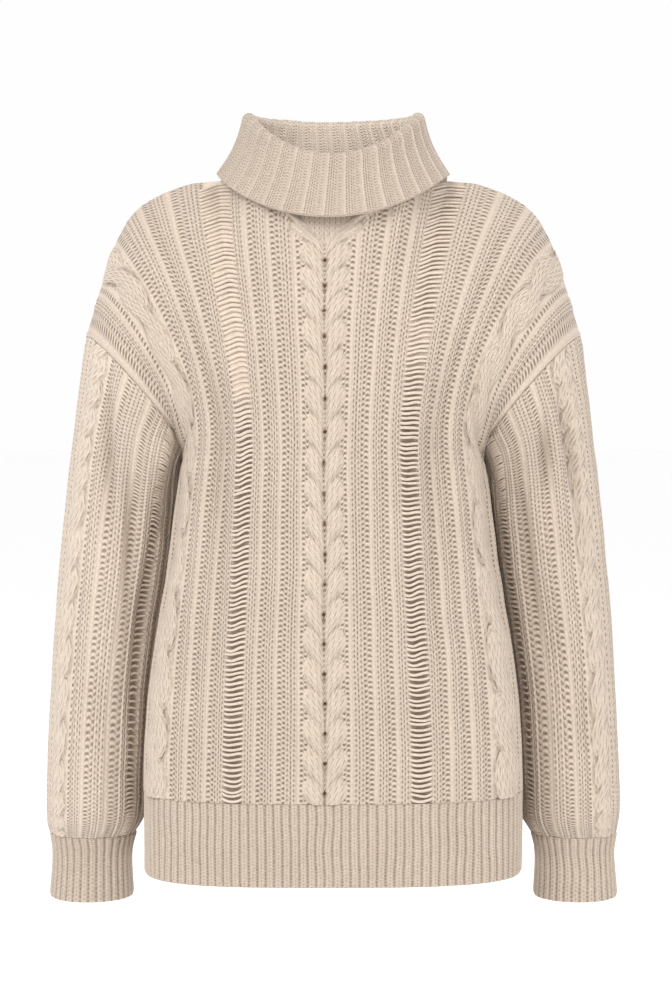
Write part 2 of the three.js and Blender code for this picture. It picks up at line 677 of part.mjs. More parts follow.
function collarProfile(share) {
  const seam = neckPoint(share).add(new THREE.Vector3(0, 0, COLLAR.lift));
  const fold = collarRing(COLLAR.fold, share);
  const edge = collarRing(COLLAR.edge, share);
  const out = new THREE.Vector3(fold.x / COLLAR.fold.sideX ** 2, fold.y / 65 ** 2, 0).normalize();
  const up = new THREE.Vector3(0, 0, 1);
  const inside = fold.clone().addScaledVector(out, -COLLAR.foldRadius);
  const outside = fold.clone().addScaledVector(out, COLLAR.foldRadius);
  const below = outside.clone().lerp(edge, 0.5);
  below.addScaledVector(out, -COLLAR.flare);
  return collarSteps.map((step) => {
    if (step.part === "stand") return seam.clone().lerp(inside, step.share);
    if (step.part === "arc") {
      const angle = Math.PI * step.share;
      return fold
        .clone()
        .addScaledVector(out, -COLLAR.foldRadius * Math.cos(angle))
        .addScaledVector(up, COLLAR.foldRadius * Math.sin(angle));
    }
    const t = step.share;
    return outside
      .clone()
      .multiplyScalar((1 - t) ** 2)
      .addScaledVector(below, 2 * t * (1 - t))
      .addScaledVector(edge, t * t);
  });
}

function collarGeometry() {
  const line = (share, raise, side) => {
    const profile = collarProfile(share);
    const around = collarProfile(share + 0.002);
    const points = profile.map((point, i) => {
      const along = profile[Math.min(i + 1, profile.length - 1)]
        .clone()
        .sub(profile[Math.max(i - 1, 0)]);
      const across = around[i].clone().sub(point);
      const normal = along.cross(across).normalize();
      if (i === 0) normal.copy(neckNormal(point)).negate();
      const middle = i === 0 ? WALL / 2 : 0;
      const offset = side * (i === 0 ? WALL / 2 : COLLAR.thickness / 2) + (i === 0 ? 0 : raise);
      return { at: collarSteps[i].at, point: point.clone().addScaledVector(normal, middle + offset) };
    });
    return { at: share, points };
  };
  const shown = [];
  for (let i = 0; i < 2 * COLLAR_RIBS; i += 1) {
    shown.push(line(i / (2 * COLLAR_RIBS), i % 2 === 1 ? BORDER_RAISE : 0, 1));
  }
  const hidden = [];
  for (let i = 0; i < COLLAR_RIBS; i += 1) hidden.push(line(i / COLLAR_RIBS, 0, -1));
  return wallGeometry(shown, hidden, true);
}

// Joins two lines of numbered points with triangles, taking the nearer next point each time.
function joinLines(triangles, left, right) {
  let i = 0;
  let j = 0;
  while (i < left.length - 1 || j < right.length - 1) {
    const leftNext = i < left.length - 1 ? left[i + 1].at : Infinity;
    const rightNext = j < right.length - 1 ? right[j + 1].at : Infinity;
    if (leftNext <= rightNext) {
      triangles.push(left[i].index, right[j].index, left[i + 1].index);
      i += 1;
    } else {
      triangles.push(left[i].index, right[j].index, right[j + 1].index);
      j += 1;
    }
  }
}

// A closed wall between outer and inner lines. A tube's lines close round, a panel's have two sides.
function wallGeometry(outer, inner, isTube) {
  const positions = [];
  const number = (line) =>
    line.points.map(({ at, point }) => {
      positions.push(point.x, point.y, point.z);
      return { at, index: positions.length / 3 - 1 };
    });
  const outerLines = outer.map(number);
  const innerLines = inner.map(number);
  const triangles = [];
  const across = (lines) => {
    for (let i = 0; i < lines.length - 1; i += 1) joinLines(triangles, lines[i], lines[i + 1]);
  };
  const backwards = [...innerLines].reverse();
  if (isTube) {
    across([...outerLines, outerLines[0]]);
    across([backwards[backwards.length - 1], ...backwards]);
  } else {
    across([...outerLines, ...backwards, outerLines[0]]);
  }
  const row = (lines, source, end) => {
    const points = lines.map((line, i) => {
      const index = line[end === "foot" ? 0 : line.length - 1].index;
      return { at: source[i].at, index };
    });
    if (isTube) points.push({ at: points[0].at + 1, index: points[0].index });
    return points;
  };
  joinLines(triangles, row(outerLines, outer, "foot"), row(innerLines, inner, "foot"));
  joinLines(triangles, row(innerLines, inner, "top"), row(outerLines, outer, "top"));
  return closedGeometry(positions, triangles);
}

// A geometry whose faces point out, whichever way its lines ran.
function closedGeometry(positions, triangles) {
  const at = (index) => new THREE.Vector3().fromArray(positions, 3 * index);
  let volume = 0;
  for (let i = 0; i < triangles.length; i += 3) {
    const [a, b, c] = [at(triangles[i]), at(triangles[i + 1]), at(triangles[i + 2])];
    volume += a.dot(b.cross(c)) / 6;
  }
  if (volume < 0) triangles.reverse();
  const geometry = new THREE.BufferGeometry();
  geometry.setAttribute("position", new THREE.Float32BufferAttribute(positions, 3));
  geometry.setIndex(triangles);
  geometry.computeVertexNormals();
  return geometry;
}

function knitPiece(name, geometry) {
  const material = new THREE.MeshStandardMaterial({
    color: knitColour,
    roughness: 0.95,
    metalness: 0,
  });
  const piece = new THREE.Mesh(geometry, material);
  piece.name = name;
  return piece;
}

const sweater = new THREE.Group();
sweater.add(
  knitPiece("front_panel", panelGeometry(faces.front)),
  knitPiece("back_panel", panelGeometry(faces.back)),
  knitPiece("sleeve_left", sleeveGeometry(1, sleeveFolds.left)),
  knitPiece("sleeve_right", sleeveGeometry(-1, sleeveFolds.right)),
  knitPiece("collar", collarGeometry()),
  knitPiece("hem_rib_front", hemGeometry(faces.front)),
  knitPiece("hem_rib_back", hemGeometry(faces.back)),
  knitPiece("cuff_left", cuffGeometry(1)),
  knitPiece("cuff_right", cuffGeometry(-1)),
);

export default sweater;
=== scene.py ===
"""A roll-neck cable sweater, filled out as if worn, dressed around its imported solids.

Sizes are in millimetres until a mesh is made. The front faces -Y, +X is the wearer's left and Z is up.
A wale is a column of stitches: its place on a panel is the flat distance from the panel's middle.
A row is a place up the panel, measured along the cloth from the panel's foot.
"""

import math

import bpy
import numpy as np
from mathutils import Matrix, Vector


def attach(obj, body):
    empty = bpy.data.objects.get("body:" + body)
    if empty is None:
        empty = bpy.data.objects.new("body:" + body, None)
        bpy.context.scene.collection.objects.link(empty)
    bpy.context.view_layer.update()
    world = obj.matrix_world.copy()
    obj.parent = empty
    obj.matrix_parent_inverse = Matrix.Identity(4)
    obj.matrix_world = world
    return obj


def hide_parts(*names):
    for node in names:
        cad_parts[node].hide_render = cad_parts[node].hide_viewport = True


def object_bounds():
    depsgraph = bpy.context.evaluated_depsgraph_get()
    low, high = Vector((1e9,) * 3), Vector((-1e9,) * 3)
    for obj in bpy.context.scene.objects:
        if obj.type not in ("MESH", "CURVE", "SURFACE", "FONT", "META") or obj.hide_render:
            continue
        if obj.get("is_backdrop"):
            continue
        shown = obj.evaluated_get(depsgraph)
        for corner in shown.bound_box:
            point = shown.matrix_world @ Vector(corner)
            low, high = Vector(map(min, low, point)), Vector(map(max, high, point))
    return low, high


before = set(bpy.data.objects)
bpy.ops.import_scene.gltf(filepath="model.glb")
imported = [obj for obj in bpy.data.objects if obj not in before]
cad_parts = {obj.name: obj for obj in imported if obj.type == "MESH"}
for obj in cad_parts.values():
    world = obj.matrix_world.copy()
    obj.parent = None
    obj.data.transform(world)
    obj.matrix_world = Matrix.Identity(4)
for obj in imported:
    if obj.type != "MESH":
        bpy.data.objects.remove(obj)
cad_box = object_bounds()

# Cloth
WALL = 2.4
SEAM_GAP = 0.3
ROW_STEP = 2.4
STITCH_ROW = 4.6
# Along a cable's strand the stitches run together into fine lines.
STRAND_ROW = 13
RIB_RAISE = 1.9
PURL_RAISE = 0.3
BORDER_RAISE = 1.5
BORDER_ROW = 2.8
BORDER_SHADE = 0.34
# How much painted shade darkens the cloth for each millimetre of a fold's depth
FOLD_SHADE = 0.028
# A place in a stitch where the yarn lies highest, for the cut edges of the cloth
PLAIN_UV = 0.25
# Where stitches step further than this from point to point, the pattern fades out.
BROKEN_STEP = 0.85
# Corners sharper than this show as edges. Yarn is round all over.
SHARP_DEGREES = 75
ROUND_DEGREES = 180
UP = np.array([0.0, 0.0, 1.0])

# Panels
HALF_PANEL = 229
UNDERARM_Z = -248
PANEL_BOTTOM_Z = -558
HEM_BOTTOM_Z = -632.4
LOWER_LENGTH = UNDERARM_Z - PANEL_BOTTOM_Z
NECK_WALE = 84
NECK_HALF_WIDTH = 107
NECK_HALF_DEPTH = 70
FRONT_TURN = -8
# The length of the yoke's cloth, as a share of the mean of its two tangents
YOKE_CURVE = 0.94
INNER_WALES = [0, 21, 42, 63, 84, 105, 127, 149, 172, 195, 213, 229]
SELVEDGE_CALM = 0.75

# What runs up half a panel, from its middle to the side seam: kind, outer edge and points across.
PANEL_COLUMNS = [
    ("plait", 17, 16), ("purl", 24.4, 6), ("knit", 36.4, 12), ("purl", 45.7, 7), ("knit", 56, 11),
    ("purl", 64.4, 7), ("knit", 74.6, 11), ("ladder", 92.4, 10), ("knit", 102, 11), ("purl", 111, 7),
    ("knit", 121, 11), ("purl", 130.5, 7), ("knit", 141, 11), ("purl", 149, 6), ("rope", 186, 27),
    ("purl", 197, 6), ("knit", 208, 11), ("purl", 225, 8), ("knit", HALF_PANEL, 3),
]

# The centre plait. Its repeats are counted at these rows: the rows, then the counts.
PLAIT_REPEATS = ([-60, 9, 355, 406, 469, 540], [-2.6, 0, 13, 15, 18, 21.4])
PLAIT_HALF = 17
PLAIT_REACH = 43
PLAIT_VALLEY = 0.7
PLAIT_RAISE = 4
PLAIT_SWELL = 2.3
PLAIT_SHADE = -0.06
PLAIT_CALM = 0.45
# The fine lines of a strand run steeper than the crease between two strands.
PLAIT_WALE = 11
PLAIT_LEAN = 12.7
PLAIT_STEEP = 1.6
# Each strand drops steeply beside the middle and levels out towards its outer edge.
PLAIT_DROP = 21
PLAIT_BEND = 9
# Near the neck the two strands part, and narrow ribs fill the wedge between them.
PLAIT_PART_ROW = 484
PLAIT_PART_SLOPE = 0.85
NARROW_RIB = 3.6
NARROW_RAISE = 1.3
# Each repeat has an eyelet in the middle of the plait and a smaller one below it.
EYELET_PITCH = 26
EYELET_RADIUS = 1.8
SMALL_EYELET_RADIUS = 1.4
SMALL_EYELET_DROP = 5.4
EYELET_DEPTH = 3.2
EYELET_SHADE = 1.7

# Ropes: their raise, stitches across a strand, lift of the shade and calm.
ROPE = (4.2, 2.1, 0.06, 0.3)
SLEEVE_ROPE = (2.6, 1.2, 0, 0.35)
ROPE_SHADE = 0.42
STRAND_SPREAD = 0.4
STRAND_RADIUS = 0.62
SLEEVE_ROPE_PERIOD = 27
# Rows at which a rope's strands cross, for the wearer's right and left side.
ROPE_CROSSINGS = {
    -1: [-36, 17, 54, 104, 158, 212, 262, 312, 364, 418, 470, 524, 576],
    1: [-40, 19, 68, 128, 187, 236, 295, 346, 398, 450, 502, 556, 610],
}

# Ladders of dropped stitches
LADDER_SINK = 2.0
LADDER_EDGE = 0.3
SLEEVE_LADDER_SINK = 1.8
SLEEVE_LADDER_SHADE = 0.5
RUNG_PITCH = 4.45
RUNG_RADIUS = 1.28
RUNG_SIDES = 6
RUNG_SHADE = -0.14
# A panel's first rung, the space above its last one, and how far a rung reaches under the ribs
RUNG_START = 4.5
RUNG_TOP_SPACE = 5
RUNG_REACH = 1.2
# How much painted shade a ladder's floor has at rows up the panel, for the shadowed inside seen between
# the rungs; below zero it is painted light: the rows, then the shades.
LADDER_SHADES = {
    ("front", -1): ([0, 330, 365, 560], [0.6, 0.6, -0.35, -0.5]),
    ("front", 1): ([0, 330, 370, 415, 440, 560], [0.75, 0.7, 0.5, -0.1, 0.25, 0.1]),
    ("back", -1): ([0, 300, 380, 560], [0.5, 0.5, 0.1, 0]),
    ("back", 1): ([0, 300, 380, 560], [0.5, 0.5, 0.15, 0]),
}
# How a ladder's rungs lie at rows up the panel: row, tilt, sag, wave and yarn thickness.
RUNG_SHAPES = {
    ("front", -1): [
        (0, 0.3, 3.4, 0, 1), (16, 0.3, 3, 0, 1), (40, 0.5, 1.5, 0.3, 1), (90, 1.5, 1.2, 0.5, 1),
        (150, 3.2, 0.6, 0.9, 1), (220, 4.2, 0.4, 1.1, 1), (290, 4.6, 0.3, 1, 0.98),
        (350, 5, 0, 0.8, 1.2), (430, 9, -0.6, 0.5, 1.5), (520, 13, -0.8, 0.4, 1.5),
    ],
    ("front", 1): [
        (0, 0, 3, 0, 1), (40, 0.6, 1.8, 0.2, 1), (100, 0.4, 2, 0.3, 1), (150, 0.8, 0.6, 1.4, 1),
        (210, 1.6, 0.4, 1.2, 1), (290, -1, 0.8, 0.7, 0.98), (350, -1.5, 0.4, 0.5, 1.15),
        (430, -1, 0.6, 0.5, 1.12), (520, -0.6, 0.8, 0.4, 1.1),
    ],
    ("back", -1): [
        (0, 0, 3, 0, 1), (60, -0.8, 1.6, 0.3, 1), (170, -2.2, 0.8, 0.9, 1), (300, -3, 0.3, 0.8, 1),
        (430, -1.5, 0.4, 0.5, 1.1), (540, -1, 0.4, 0.5, 1.1),
    ],
    ("back", 1): [
        (0, 0, 3, 0, 1), (60, 1, 1.5, 0.4, 1), (170, 2.6, 0.7, 1, 1), (300, 2, 0.4, 0.9, 1),
        (430, 1, 0.6, 0.6, 1.05), (540, 0.6, 0.6, 0.5, 1.05),
    ],
}

# The body's sections: height, half width, depth in front, depth behind, power of the outline.
BODY_SECTIONS = [
    (HEM_BOTTOM_Z, 172.8, 95, 93, 3.1),
    (-558, 173.2, 95.5, 93.5, 3.1),
    (-514, 172.3, 96, 94, 3.05),
    (-471, 169.2, 96.5, 94, 3),
    (-429, 164.2, 97.5, 94, 2.95),
    (-386, 157, 99, 94, 2.9),
    (-349, 151, 100.5, 94.5, 2.85),
    (-293, 144, 102.5, 95.5, 2.75),
    (UNDERARM_Z, 138, 104, 96.5, 2.65),
]

# The yoke by wale: its end, and the way it leaves the underarm row and reaches that end.
FRONT_YOKE = [
    (0, 0, -76, -28, 0, -8, 222, 0, 40, 210),
    (30, 39, -72, -23, 2, -10, 224, 15, 42, 214),
    (57, 71, -58, -10, 3, -20, 238, 20, 80, 220),
    (84, 107, 0, 3.5, 3, -60, 260, 26, 235, 190),
    (97, 132, 0, 1, -4, -58, 258, 40, 246, 172),
    (116, 164, 0, -11, -14, -56, 250, 58, 256, 146),
    (136, 188, 0, -29, -24, -64, 228, 74, 254, 104),
    (149, 203, 0, -56, -30, -80, 208, 80, 250, 66),
    (186, 215, 0, -92, -32, -150, 140, 70, 256, 10),
    (229, 230, 0, -142, -30, -248, 34, 30, 248, -34),
]
BACK_YOKE = [
    (0, 0, 62, 9, 0, 4, 258, 0, -80, 214),
    (30, 41, 58, 9, 2, 4, 258, 16, -90, 212),
    (57, 75, 42, 7, 3, 12, 258, 22, -130, 206),
    (84, 107, 0, 3.5, 3, 40, 260, 26, -225, 190),
    (97, 132, 0, 1, -4, 40, 258, 40, -238, 172),
    (116, 164, 0, -11, -14, 42, 250, 58, -250, 146),
    (136, 188, 0, -29, -24, 54, 228, 74, -250, 104),
    (149, 203, 0, -56, -30, 72, 208, 80, -248, 66),
    (186, 215, 0, -92, -32, 146, 140, 70, -254, 10),
    (229, 230, 0, -142, -30, 248, 34, 30, -248, -34),
]
# The shoulder seam's first stretch: its wales, then its heights.
SHOULDER_START = ([NECK_WALE, 97], [3.5, 1])

# Folds placed one by one: wale, row, width, length, depth, slant.
FRONT_FOLDS = [
    (-112, 300, 13, 120, -4.5, -0.06),
    (110, 290, 13, 130, -4.5, 0.08),
    (-204, 352, 17, 34, 5, 0.2),
    (205, 350, 17, 32, 4, -0.2),
    (-176, 236, 14, 60, -3.5, 0.1),
    (180, 230, 14, 56, -3, -0.1),
    (-166, 338, 6, 40, -2.6, 0.45),
    (-190, 320, 5, 34, -2.8, 0.7),
    (170, 334, 6, 40, -2.6, -0.45),
    (192, 318, 5, 34, -2.8, -0.7),
]
BACK_FOLDS = [
    (-106, 300, 14, 120, -5, -0.08),
    (112, 286, 14, 110, -4.5, 0.05),
    (-202, 350, 17, 34, 4, 0.2),
    (203, 352, 17, 34, 5, -0.2),
    (8, 210, 34, 90, -4, 0.1),
]
# Over which stretch folds and small waves fade out: in from the side, and as shares up and down.
SIDE_FADE = 16
FOOT_FADE = 0.12
TOP_FADE = 0.15

FACES = {
    "front": {"sign": -1, "depth": 1, "yoke": FRONT_YOKE, "folds": FRONT_FOLDS, "turn": FRONT_TURN},
    "back": {"sign": 1, "depth": 2, "yoke": BACK_YOKE, "folds": BACK_FOLDS, "turn": 0},
}

# Sleeve rings: outer x and z, inner x and z, half depth, set back behind the body's side.
SLEEVE_RINGS = [
    (230, -142, 138, -248, 62, 0),
    (234.7, -186, 146.5, -262, 60, 2),
    (241.5, -232, 149, -284, 58.5, 14),
    (248.5, -283, 150.5, -312, 57.5, 24),
    (255.8, -348, 155, -358, 57, 30),
    (261.2, -409, 163, -409, 56, 33),
    (265.3, -474, 171.5, -474, 54, 33),
    (268.2, -541, 175.5, -541, 50, 32),
    (269.1, -586, 177.5, -586, 46, 31),
    (266.2, -606, 187, -606, 38, 30),
]
CUFF_RINGS = [
    (266.2, -606.3, 187, -606.3, 38, 30),
    (263.7, -628, 191.3, -628, 34, 30.5),
    (266.4, -666.4, 189.8, -666.4, 35.5, 31),
]
INNER_RING = np.arange(32) / 32
SLEEVE_LENGTH = 430
CUFF_LENGTH = 60
SLEEVE_BLEND = 0.3
SLEEVE_KNIT = 0.9
# Half of the sleeve's ring, from the underarm to the top: kind, far edge and points across.
SLEEVE_COLUMNS = [
    ("purl", 0.03, 8), ("knit", 0.062, 11), ("purl", 0.076, 4), ("knit", 0.106, 11),
    ("ladder", 0.134, 7), ("knit", 0.168, 11), ("purl", 0.212, 9), ("knit", 0.254, 12),
    ("purl", 0.288, 8), ("knit", 0.322, 11), ("purl", 0.341, 5), ("rope", 0.421, 22),
    ("purl", 0.44, 5), ("knit", 0.472, 11), ("purl", 0.5, 6),
]
# The pattern lies turned a little on the wearer's left arm.
SLEEVE_TURN = {-1: 0, 1: -0.03}
# How much paler each sleeve is, as the light falls less on the one on the wearer's right.
SLEEVE_LIFT = {-1: 0.12, 1: 0.03}
# Sleeve folds: share of the ring, share of the length, width, length, depth, slant.
UNDERARM_FOLDS = [(0, 0.17, 0.07, 0.16, 5.5, 0), (1, 0.17, 0.07, 0.16, 5.5, 0)]
SLEEVE_FOLDS = {
    1: [
        (0.33, 0.24, 0.022, 0.14, -9, 0.1),
        (0.25, 0.2, 0.02, 0.1, -8, -0.1),
        (0.29, 0.16, 0.02, 0.1, 4, 0),
        (0.16, 0.42, 0.026, 0.16, -7, 0.05),
        (0.21, 0.55, 0.03, 0.12, -4, -0.05),
        (0.3, 0.7, 0.05, 0.06, -3, 0.3),
        (0.72, 0.3, 0.03, 0.2, -6, 0.1),
        (0.84, 0.5, 0.03, 0.16, -5, -0.1),
        *UNDERARM_FOLDS,
    ],
    -1: [
        (0.29, 0.22, 0.022, 0.15, -9, -0.18),
        (0.13, 0.13, 0.04, 0.1, 7, 0.15),
        (0.2, 0.36, 0.022, 0.14, -8, -0.12),
        (0.13, 0.52, 0.026, 0.14, -7, 0),
        (0.25, 0.68, 0.05, 0.06, -3, -0.3),
        (0.7, 0.34, 0.03, 0.2, -6, -0.1),
        (0.82, 0.46, 0.03, 0.16, -5, 0.1),
        *UNDERARM_FOLDS,
    ],
}

# Hem, cuffs and collar
HEM_RIBS = 60
HEM_RIB_POINTS = 8
HEM_ROWS = 34
HEM_INNER_POINTS = 61
CUFF_RIBS = 32
CUFF_RIB_POINTS = 10
CUFF_ROWS = 28
BORDER_WANDER = 0.14
BORDER_CALM = 0.4
COLLAR_RIBS = 35
COLLAR_RIB_POINTS = 18
# The share of a collar rib that is knit, and the ribs' height there
COLLAR_KNIT = 0.52
COLLAR_RELIEF = 0.45
COLLAR_FOLD = {
    "side_x": 78.5, "front_y": -71, "back_y": 58, "front_z": 15.5, "side_z": 61, "back_z": 60,
    "turn": -1, "roundness": 1,
}
COLLAR_EDGE = {
    "side_x": 107, "front_y": -92.5, "back_y": 77, "front_z": -37, "side_z": 9, "back_z": 12,
    "turn": -5, "roundness": 0.86,
}
COLLAR_FOLD_RADIUS = 4.5
COLLAR_FOLD_DEPTH = 65
COLLAR_LIFT = 0.65
COLLAR_THICKNESS = 3
COLLAR_FLARE = 8
COLLAR_SHADE = 0.13
COLLAR_PURL_SHADE = 0.08
COLLAR_INSIDE_PAINTED_LIGHT = 0.72
COLLAR_INSIDE_CALM = 0.35
# Rows of points up the collar's stand, round its fold and down its turned part
STAND_ROWS = 30
FOLD_ROWS = 8
TURNED_ROWS = 30

# Yarn
YARN_COLOUR = (0.585, 0.488, 0.4)
YARN_SHADE = (0.19, 0.135, 0.095)
BUMP_DEPTH = 0.0012


# Curves and noise


def hermite(start, leave, end, reach, share):
    squared = share * share
    cubed = squared * share
    return (
        (2 * cubed - 3 * squared + 1) * start
        + (cubed - 2 * squared + share) * leave
        + (3 * squared - 2 * cubed) * end
        + (cubed - squared) * reach
    )


def read_table(table, at):
    """A smooth curve through a table's rows, read at values of its first column."""
    table = np.asarray(table, float)
    keys, values = table[:, 0], table[:, 1:]
    before = np.maximum(np.arange(len(keys)) - 1, 0)
    after = np.minimum(np.arange(len(keys)) + 1, len(keys) - 1)
    slopes = (values[after] - values[before]) / (keys[after] - keys[before])[:, None]
    index = np.clip(np.searchsorted(keys, at, side="right") - 1, 0, len(keys) - 2)
    span = (keys[index + 1] - keys[index])[..., None]
    share = (at - keys[index])[..., None] / span
    return hermite(
        values[index], slopes[index] * span, values[index + 1], slopes[index + 1] * span, share
    )


def ease(share):
    return share * share * (3 - 2 * share)


def bell(away, width):
    """A smooth bump of height 1 round the place where away is zero."""
    return np.exp(-((away / width) ** 2))


def noise(x, y, seed):
    """Smooth noise from -1 to 1 over a lattice with a step of 1."""
    size = 64
    lattice = np.random.default_rng(seed).uniform(-1, 1, (size, size))
    left, low = np.floor(x).astype(int), np.floor(y).astype(int)
    across, up = ease(x - left), ease(y - low)
    corner = lambda i, j: lattice[(left + i) % size, (low + j) % size]
    bottom = corner(0, 0) * (1 - across) + corner(1, 0) * across
    top = corner(0, 1) * (1 - across) + corner(1, 1) * across
    return bottom * (1 - up) + top * up


def unit(vectors):
    return vectors / np.linalg.norm(vectors, axis=-1, keepdims=True)


def arc_lengths(path):
    """How far along a path each of its points lies."""
    return np.concatenate([[0], np.cumsum(np.linalg.norm(np.diff(path, axis=0), axis=1))])


# Columns of stitches


def column_points(columns):
    """The places of a run of columns' points across."""
    places = [0.0]
    for _kind, end, points in columns:
        start = places[-1]
        places.extend(start + (end - start) * (k + 1) / points for k in range(points - 1))
        places.append(float(end))
    return np.array(places)


def columns_at(columns, away):
    """Each column's number, kind and edges, which places lie in it, and their share across it."""
    start = 0
    for number, (kind, end, _points) in enumerate(columns):
        inside = (away >= start - 1e-9) & (away <= end + 1e-9)
        yield number, kind, inside, np.clip((away - start) / (end - start), 0, 1)
        start = end


def ladder_edges(columns):
    ends = [0] + [end for _kind, end, _points in columns]
    number = [column[0] for column in columns].index("ladder")
    return ends[number], ends[number + 1]


# The body's surface


def turned(face, wales):
    """How far the middle of a panel lies turned round the body."""
    return face["turn"] * (1 - (wales / HALF_PANEL) ** 2) ** 2


def section_rows(face, wales, heights):
    """Points of the body's sections, one row for each height."""
    angle = np.linspace(0, math.pi / 2, 97)
    points = np.empty((len(heights), len(wales), 3))
    for row, height, size in zip(points, heights, read_table(BODY_SECTIONS, heights)):
        x = size[0] * np.sin(angle) ** (2 / size[3])
        y = size[face["depth"]] * np.clip(np.cos(angle), 0, 1) ** (2 / size[3])
        y[-1] = 0
        length = arc_lengths(np.stack([x, y], 1))
        target = np.abs(wales) / HALF_PANEL * length[-1]
        row[:, 0] = np.interp(target, length, x) * np.sign(wales) + turned(face, wales)
        row[:, 1] = face["sign"] * np.interp(target, length, y)
        row[:, 2] = height
    return points


def yoke_rows(face, wales, shares):
    """Points of the yoke, one row for each share of the way to the neckline and shoulder."""
    start = section_rows(face, wales, np.array([UNDERARM_Z]))[0]
    away = np.abs(wales)
    end, leave, reach = np.split(read_table(face["yoke"], away), 3, axis=1)
    for values in (end, leave, reach):
        values[:, 0] *= np.sign(wales)
    # The first wales of the shoulder seam run straight, so that the two panels' edges meet there.
    end[away >= NECK_WALE, 1] = 0
    first = (away >= NECK_WALE) & (away <= SHOULDER_START[0][1])
    end[first, 2] = np.interp(away[first], *SHOULDER_START)
    share = shares[:, None]
    points = hermite(start, leave, end, reach, share[..., None])
    hold = 1 - share**4 * np.minimum(away / NECK_WALE, 1)
    points[..., 0] += turned(face, wales) * hold * ease(share)
    return points


def panel_points(face, wales, heights):
    """A panel's base surface: heights 0 to 1 are the lower body and 1 to 2 are the yoke."""
    low = heights <= 1
    below = section_rows(face, wales, PANEL_BOTTOM_Z + heights[low] * LOWER_LENGTH)
    return np.concatenate([below, yoke_rows(face, wales, heights[~low] - 1)])


def yoke_lengths(face, wales):
    _end, leave, reach = np.split(read_table(face["yoke"], np.abs(wales)), 3, axis=1)
    return YOKE_CURVE * (np.linalg.norm(leave, axis=1) + np.linalg.norm(reach, axis=1)) / 2


def panel_rows(face, wales, heights):
    """How far up the cloth each point of a panel lies."""
    lower = np.minimum(heights, 1)[:, None] * LOWER_LENGTH
    return lower + np.maximum(heights - 1, 0)[:, None] * yoke_lengths(face, wales)


def armhole_normals(face, side, shares):
    """Normals along the armhole's edge, from the underarm to the top of the shoulder."""
    low = (1 + np.cos(math.pi * shares)) / 2
    high = 1 - low
    out = side * (0.25 * low + 0.98 * high)
    ahead = face["sign"] * 3 * np.sin(math.pi * shares)
    return unit(np.stack([out, ahead, 0.2 * high - 0.97 * low], -1))


def neck_normals(points):
    """Normals of the neckline's edge, which turn up as well as outwards."""
    x, y = points[:, 0] / NECK_HALF_WIDTH, points[:, 1] / NECK_HALF_DEPTH
    return unit(np.stack([x, y, np.full(len(points), 0.45)], 1))


def grid_normals(points, tube=False):
    """Normals of a grid of points, by its neighbours."""
    if tube:
        around = np.roll(points, -1, axis=1) - np.roll(points, 1, axis=1)
    else:
        around = np.gradient(points, axis=1)
    return unit(np.cross(around, np.gradient(points, axis=0)))


def panel_normals(face, wales, heights, points):
    """A panel's normals. Along the seams they are its neighbour's too, so that the walls meet."""
    normals = grid_normals(points)
    if normals[len(heights) // 4, len(wales) // 2, 1] * face["sign"] < 0:
        normals = -normals
    yoke = heights >= 1
    for column in (0, -1):
        side = np.sign(wales[column])
        normals[~yoke, column] = (side, 0, 0)
        normals[yoke, column] = armhole_normals(face, side, heights[yoke] - 1)
    on_neck = np.abs(wales) <= NECK_WALE + 0.01
    normals[-1, on_neck] = neck_normals(points[-1, on_neck])
    normals[-1, ~on_neck, 1] = 0
    normals[-1] = unit(normals[-1])
    return normals


def fold_depths(folds, across, up):
    """How far the listed folds raise or sink the cloth."""
    depth = 0
    for at, start, width, length, deep, slant in folds:
        away = across - at - slant * (up - start)
        depth = depth + deep * bell(away, width) * bell(up - start, length)
    return depth


def edge_fade(wales, heights):
    """A share that falls to zero at a panel's sides, foot and top."""
    side = (HALF_PANEL - np.abs(wales)) / SIDE_FADE
    along = np.minimum(heights / FOOT_FADE, (2 - heights) / TOP_FADE)[:, None]
    return np.clip(np.minimum(side, along), 0, 1)


def panel_surface(face, wales, heights):
    """A panel's points, normals and rows up the cloth, and the depth of its folds."""
    points = panel_points(face, wales, heights)
    rows = panel_rows(face, wales, heights)
    folds = fold_depths(face["folds"], wales, rows) * edge_fade(wales, heights)
    return points, panel_normals(face, wales, heights, points), rows, folds


# Raised knit. Relief has six layers: the raise, the stitches across and along, how far the stitch is a
# knit one (1 for knit, 0 for purl), the shade, and how calm the cloth is, which hides its stitches.


def knit_pair(across):
    """Two knit wales side by side, across from 0 to 1."""
    shoulder = np.sqrt(np.clip(np.minimum(across, 1 - across) / 0.14, 0, 1))
    pair = np.abs(np.sin(2 * math.pi * across)) ** 0.6
    return RIB_RAISE * (0.4 * shoulder + 0.6 * pair)


def purl_column(across):
    return PURL_RAISE * np.abs(np.sin(2 * math.pi * across))


def ladder_floor(across):
    """How far a ladder's floor is sunk, from 0 at its edges to 1."""
    return np.sin(math.pi * across) ** LADDER_EDGE


def strand_rope(across, turns):
    """A two-strand rope: its height from 0 to 1, the offset from a strand's middle, and its creases."""
    best = np.full(np.broadcast(across, turns).shape, -1.0)
    offset = np.zeros_like(best)
    for start in (0, math.pi):
        phase = math.pi * turns + start
        away = (across - STRAND_SPREAD * np.cos(phase)) / STRAND_RADIUS
        height = 0.3 * (1 + np.sin(phase)) + 0.42 * np.sqrt(np.clip(1 - away**2, 0, 1))
        height = np.where(np.abs(away) > 1, 0, height)
        over = height > best
        best = np.where(over, height, best)
        offset = np.where(over, away, offset)
    return best, offset, bell(1 - np.abs(offset), 0.16)


def rope_relief(across, turns, rows, rope):
    raise_by, stitches, lift, calm = rope
    height, offset, crease = strand_rope(across, turns)
    whole = np.ones_like(height)
    shade = ROPE_SHADE * crease - lift
    return np.stack([raise_by * height, stitches * offset, rows / STRAND_ROW, whole, shade, calm * whole])


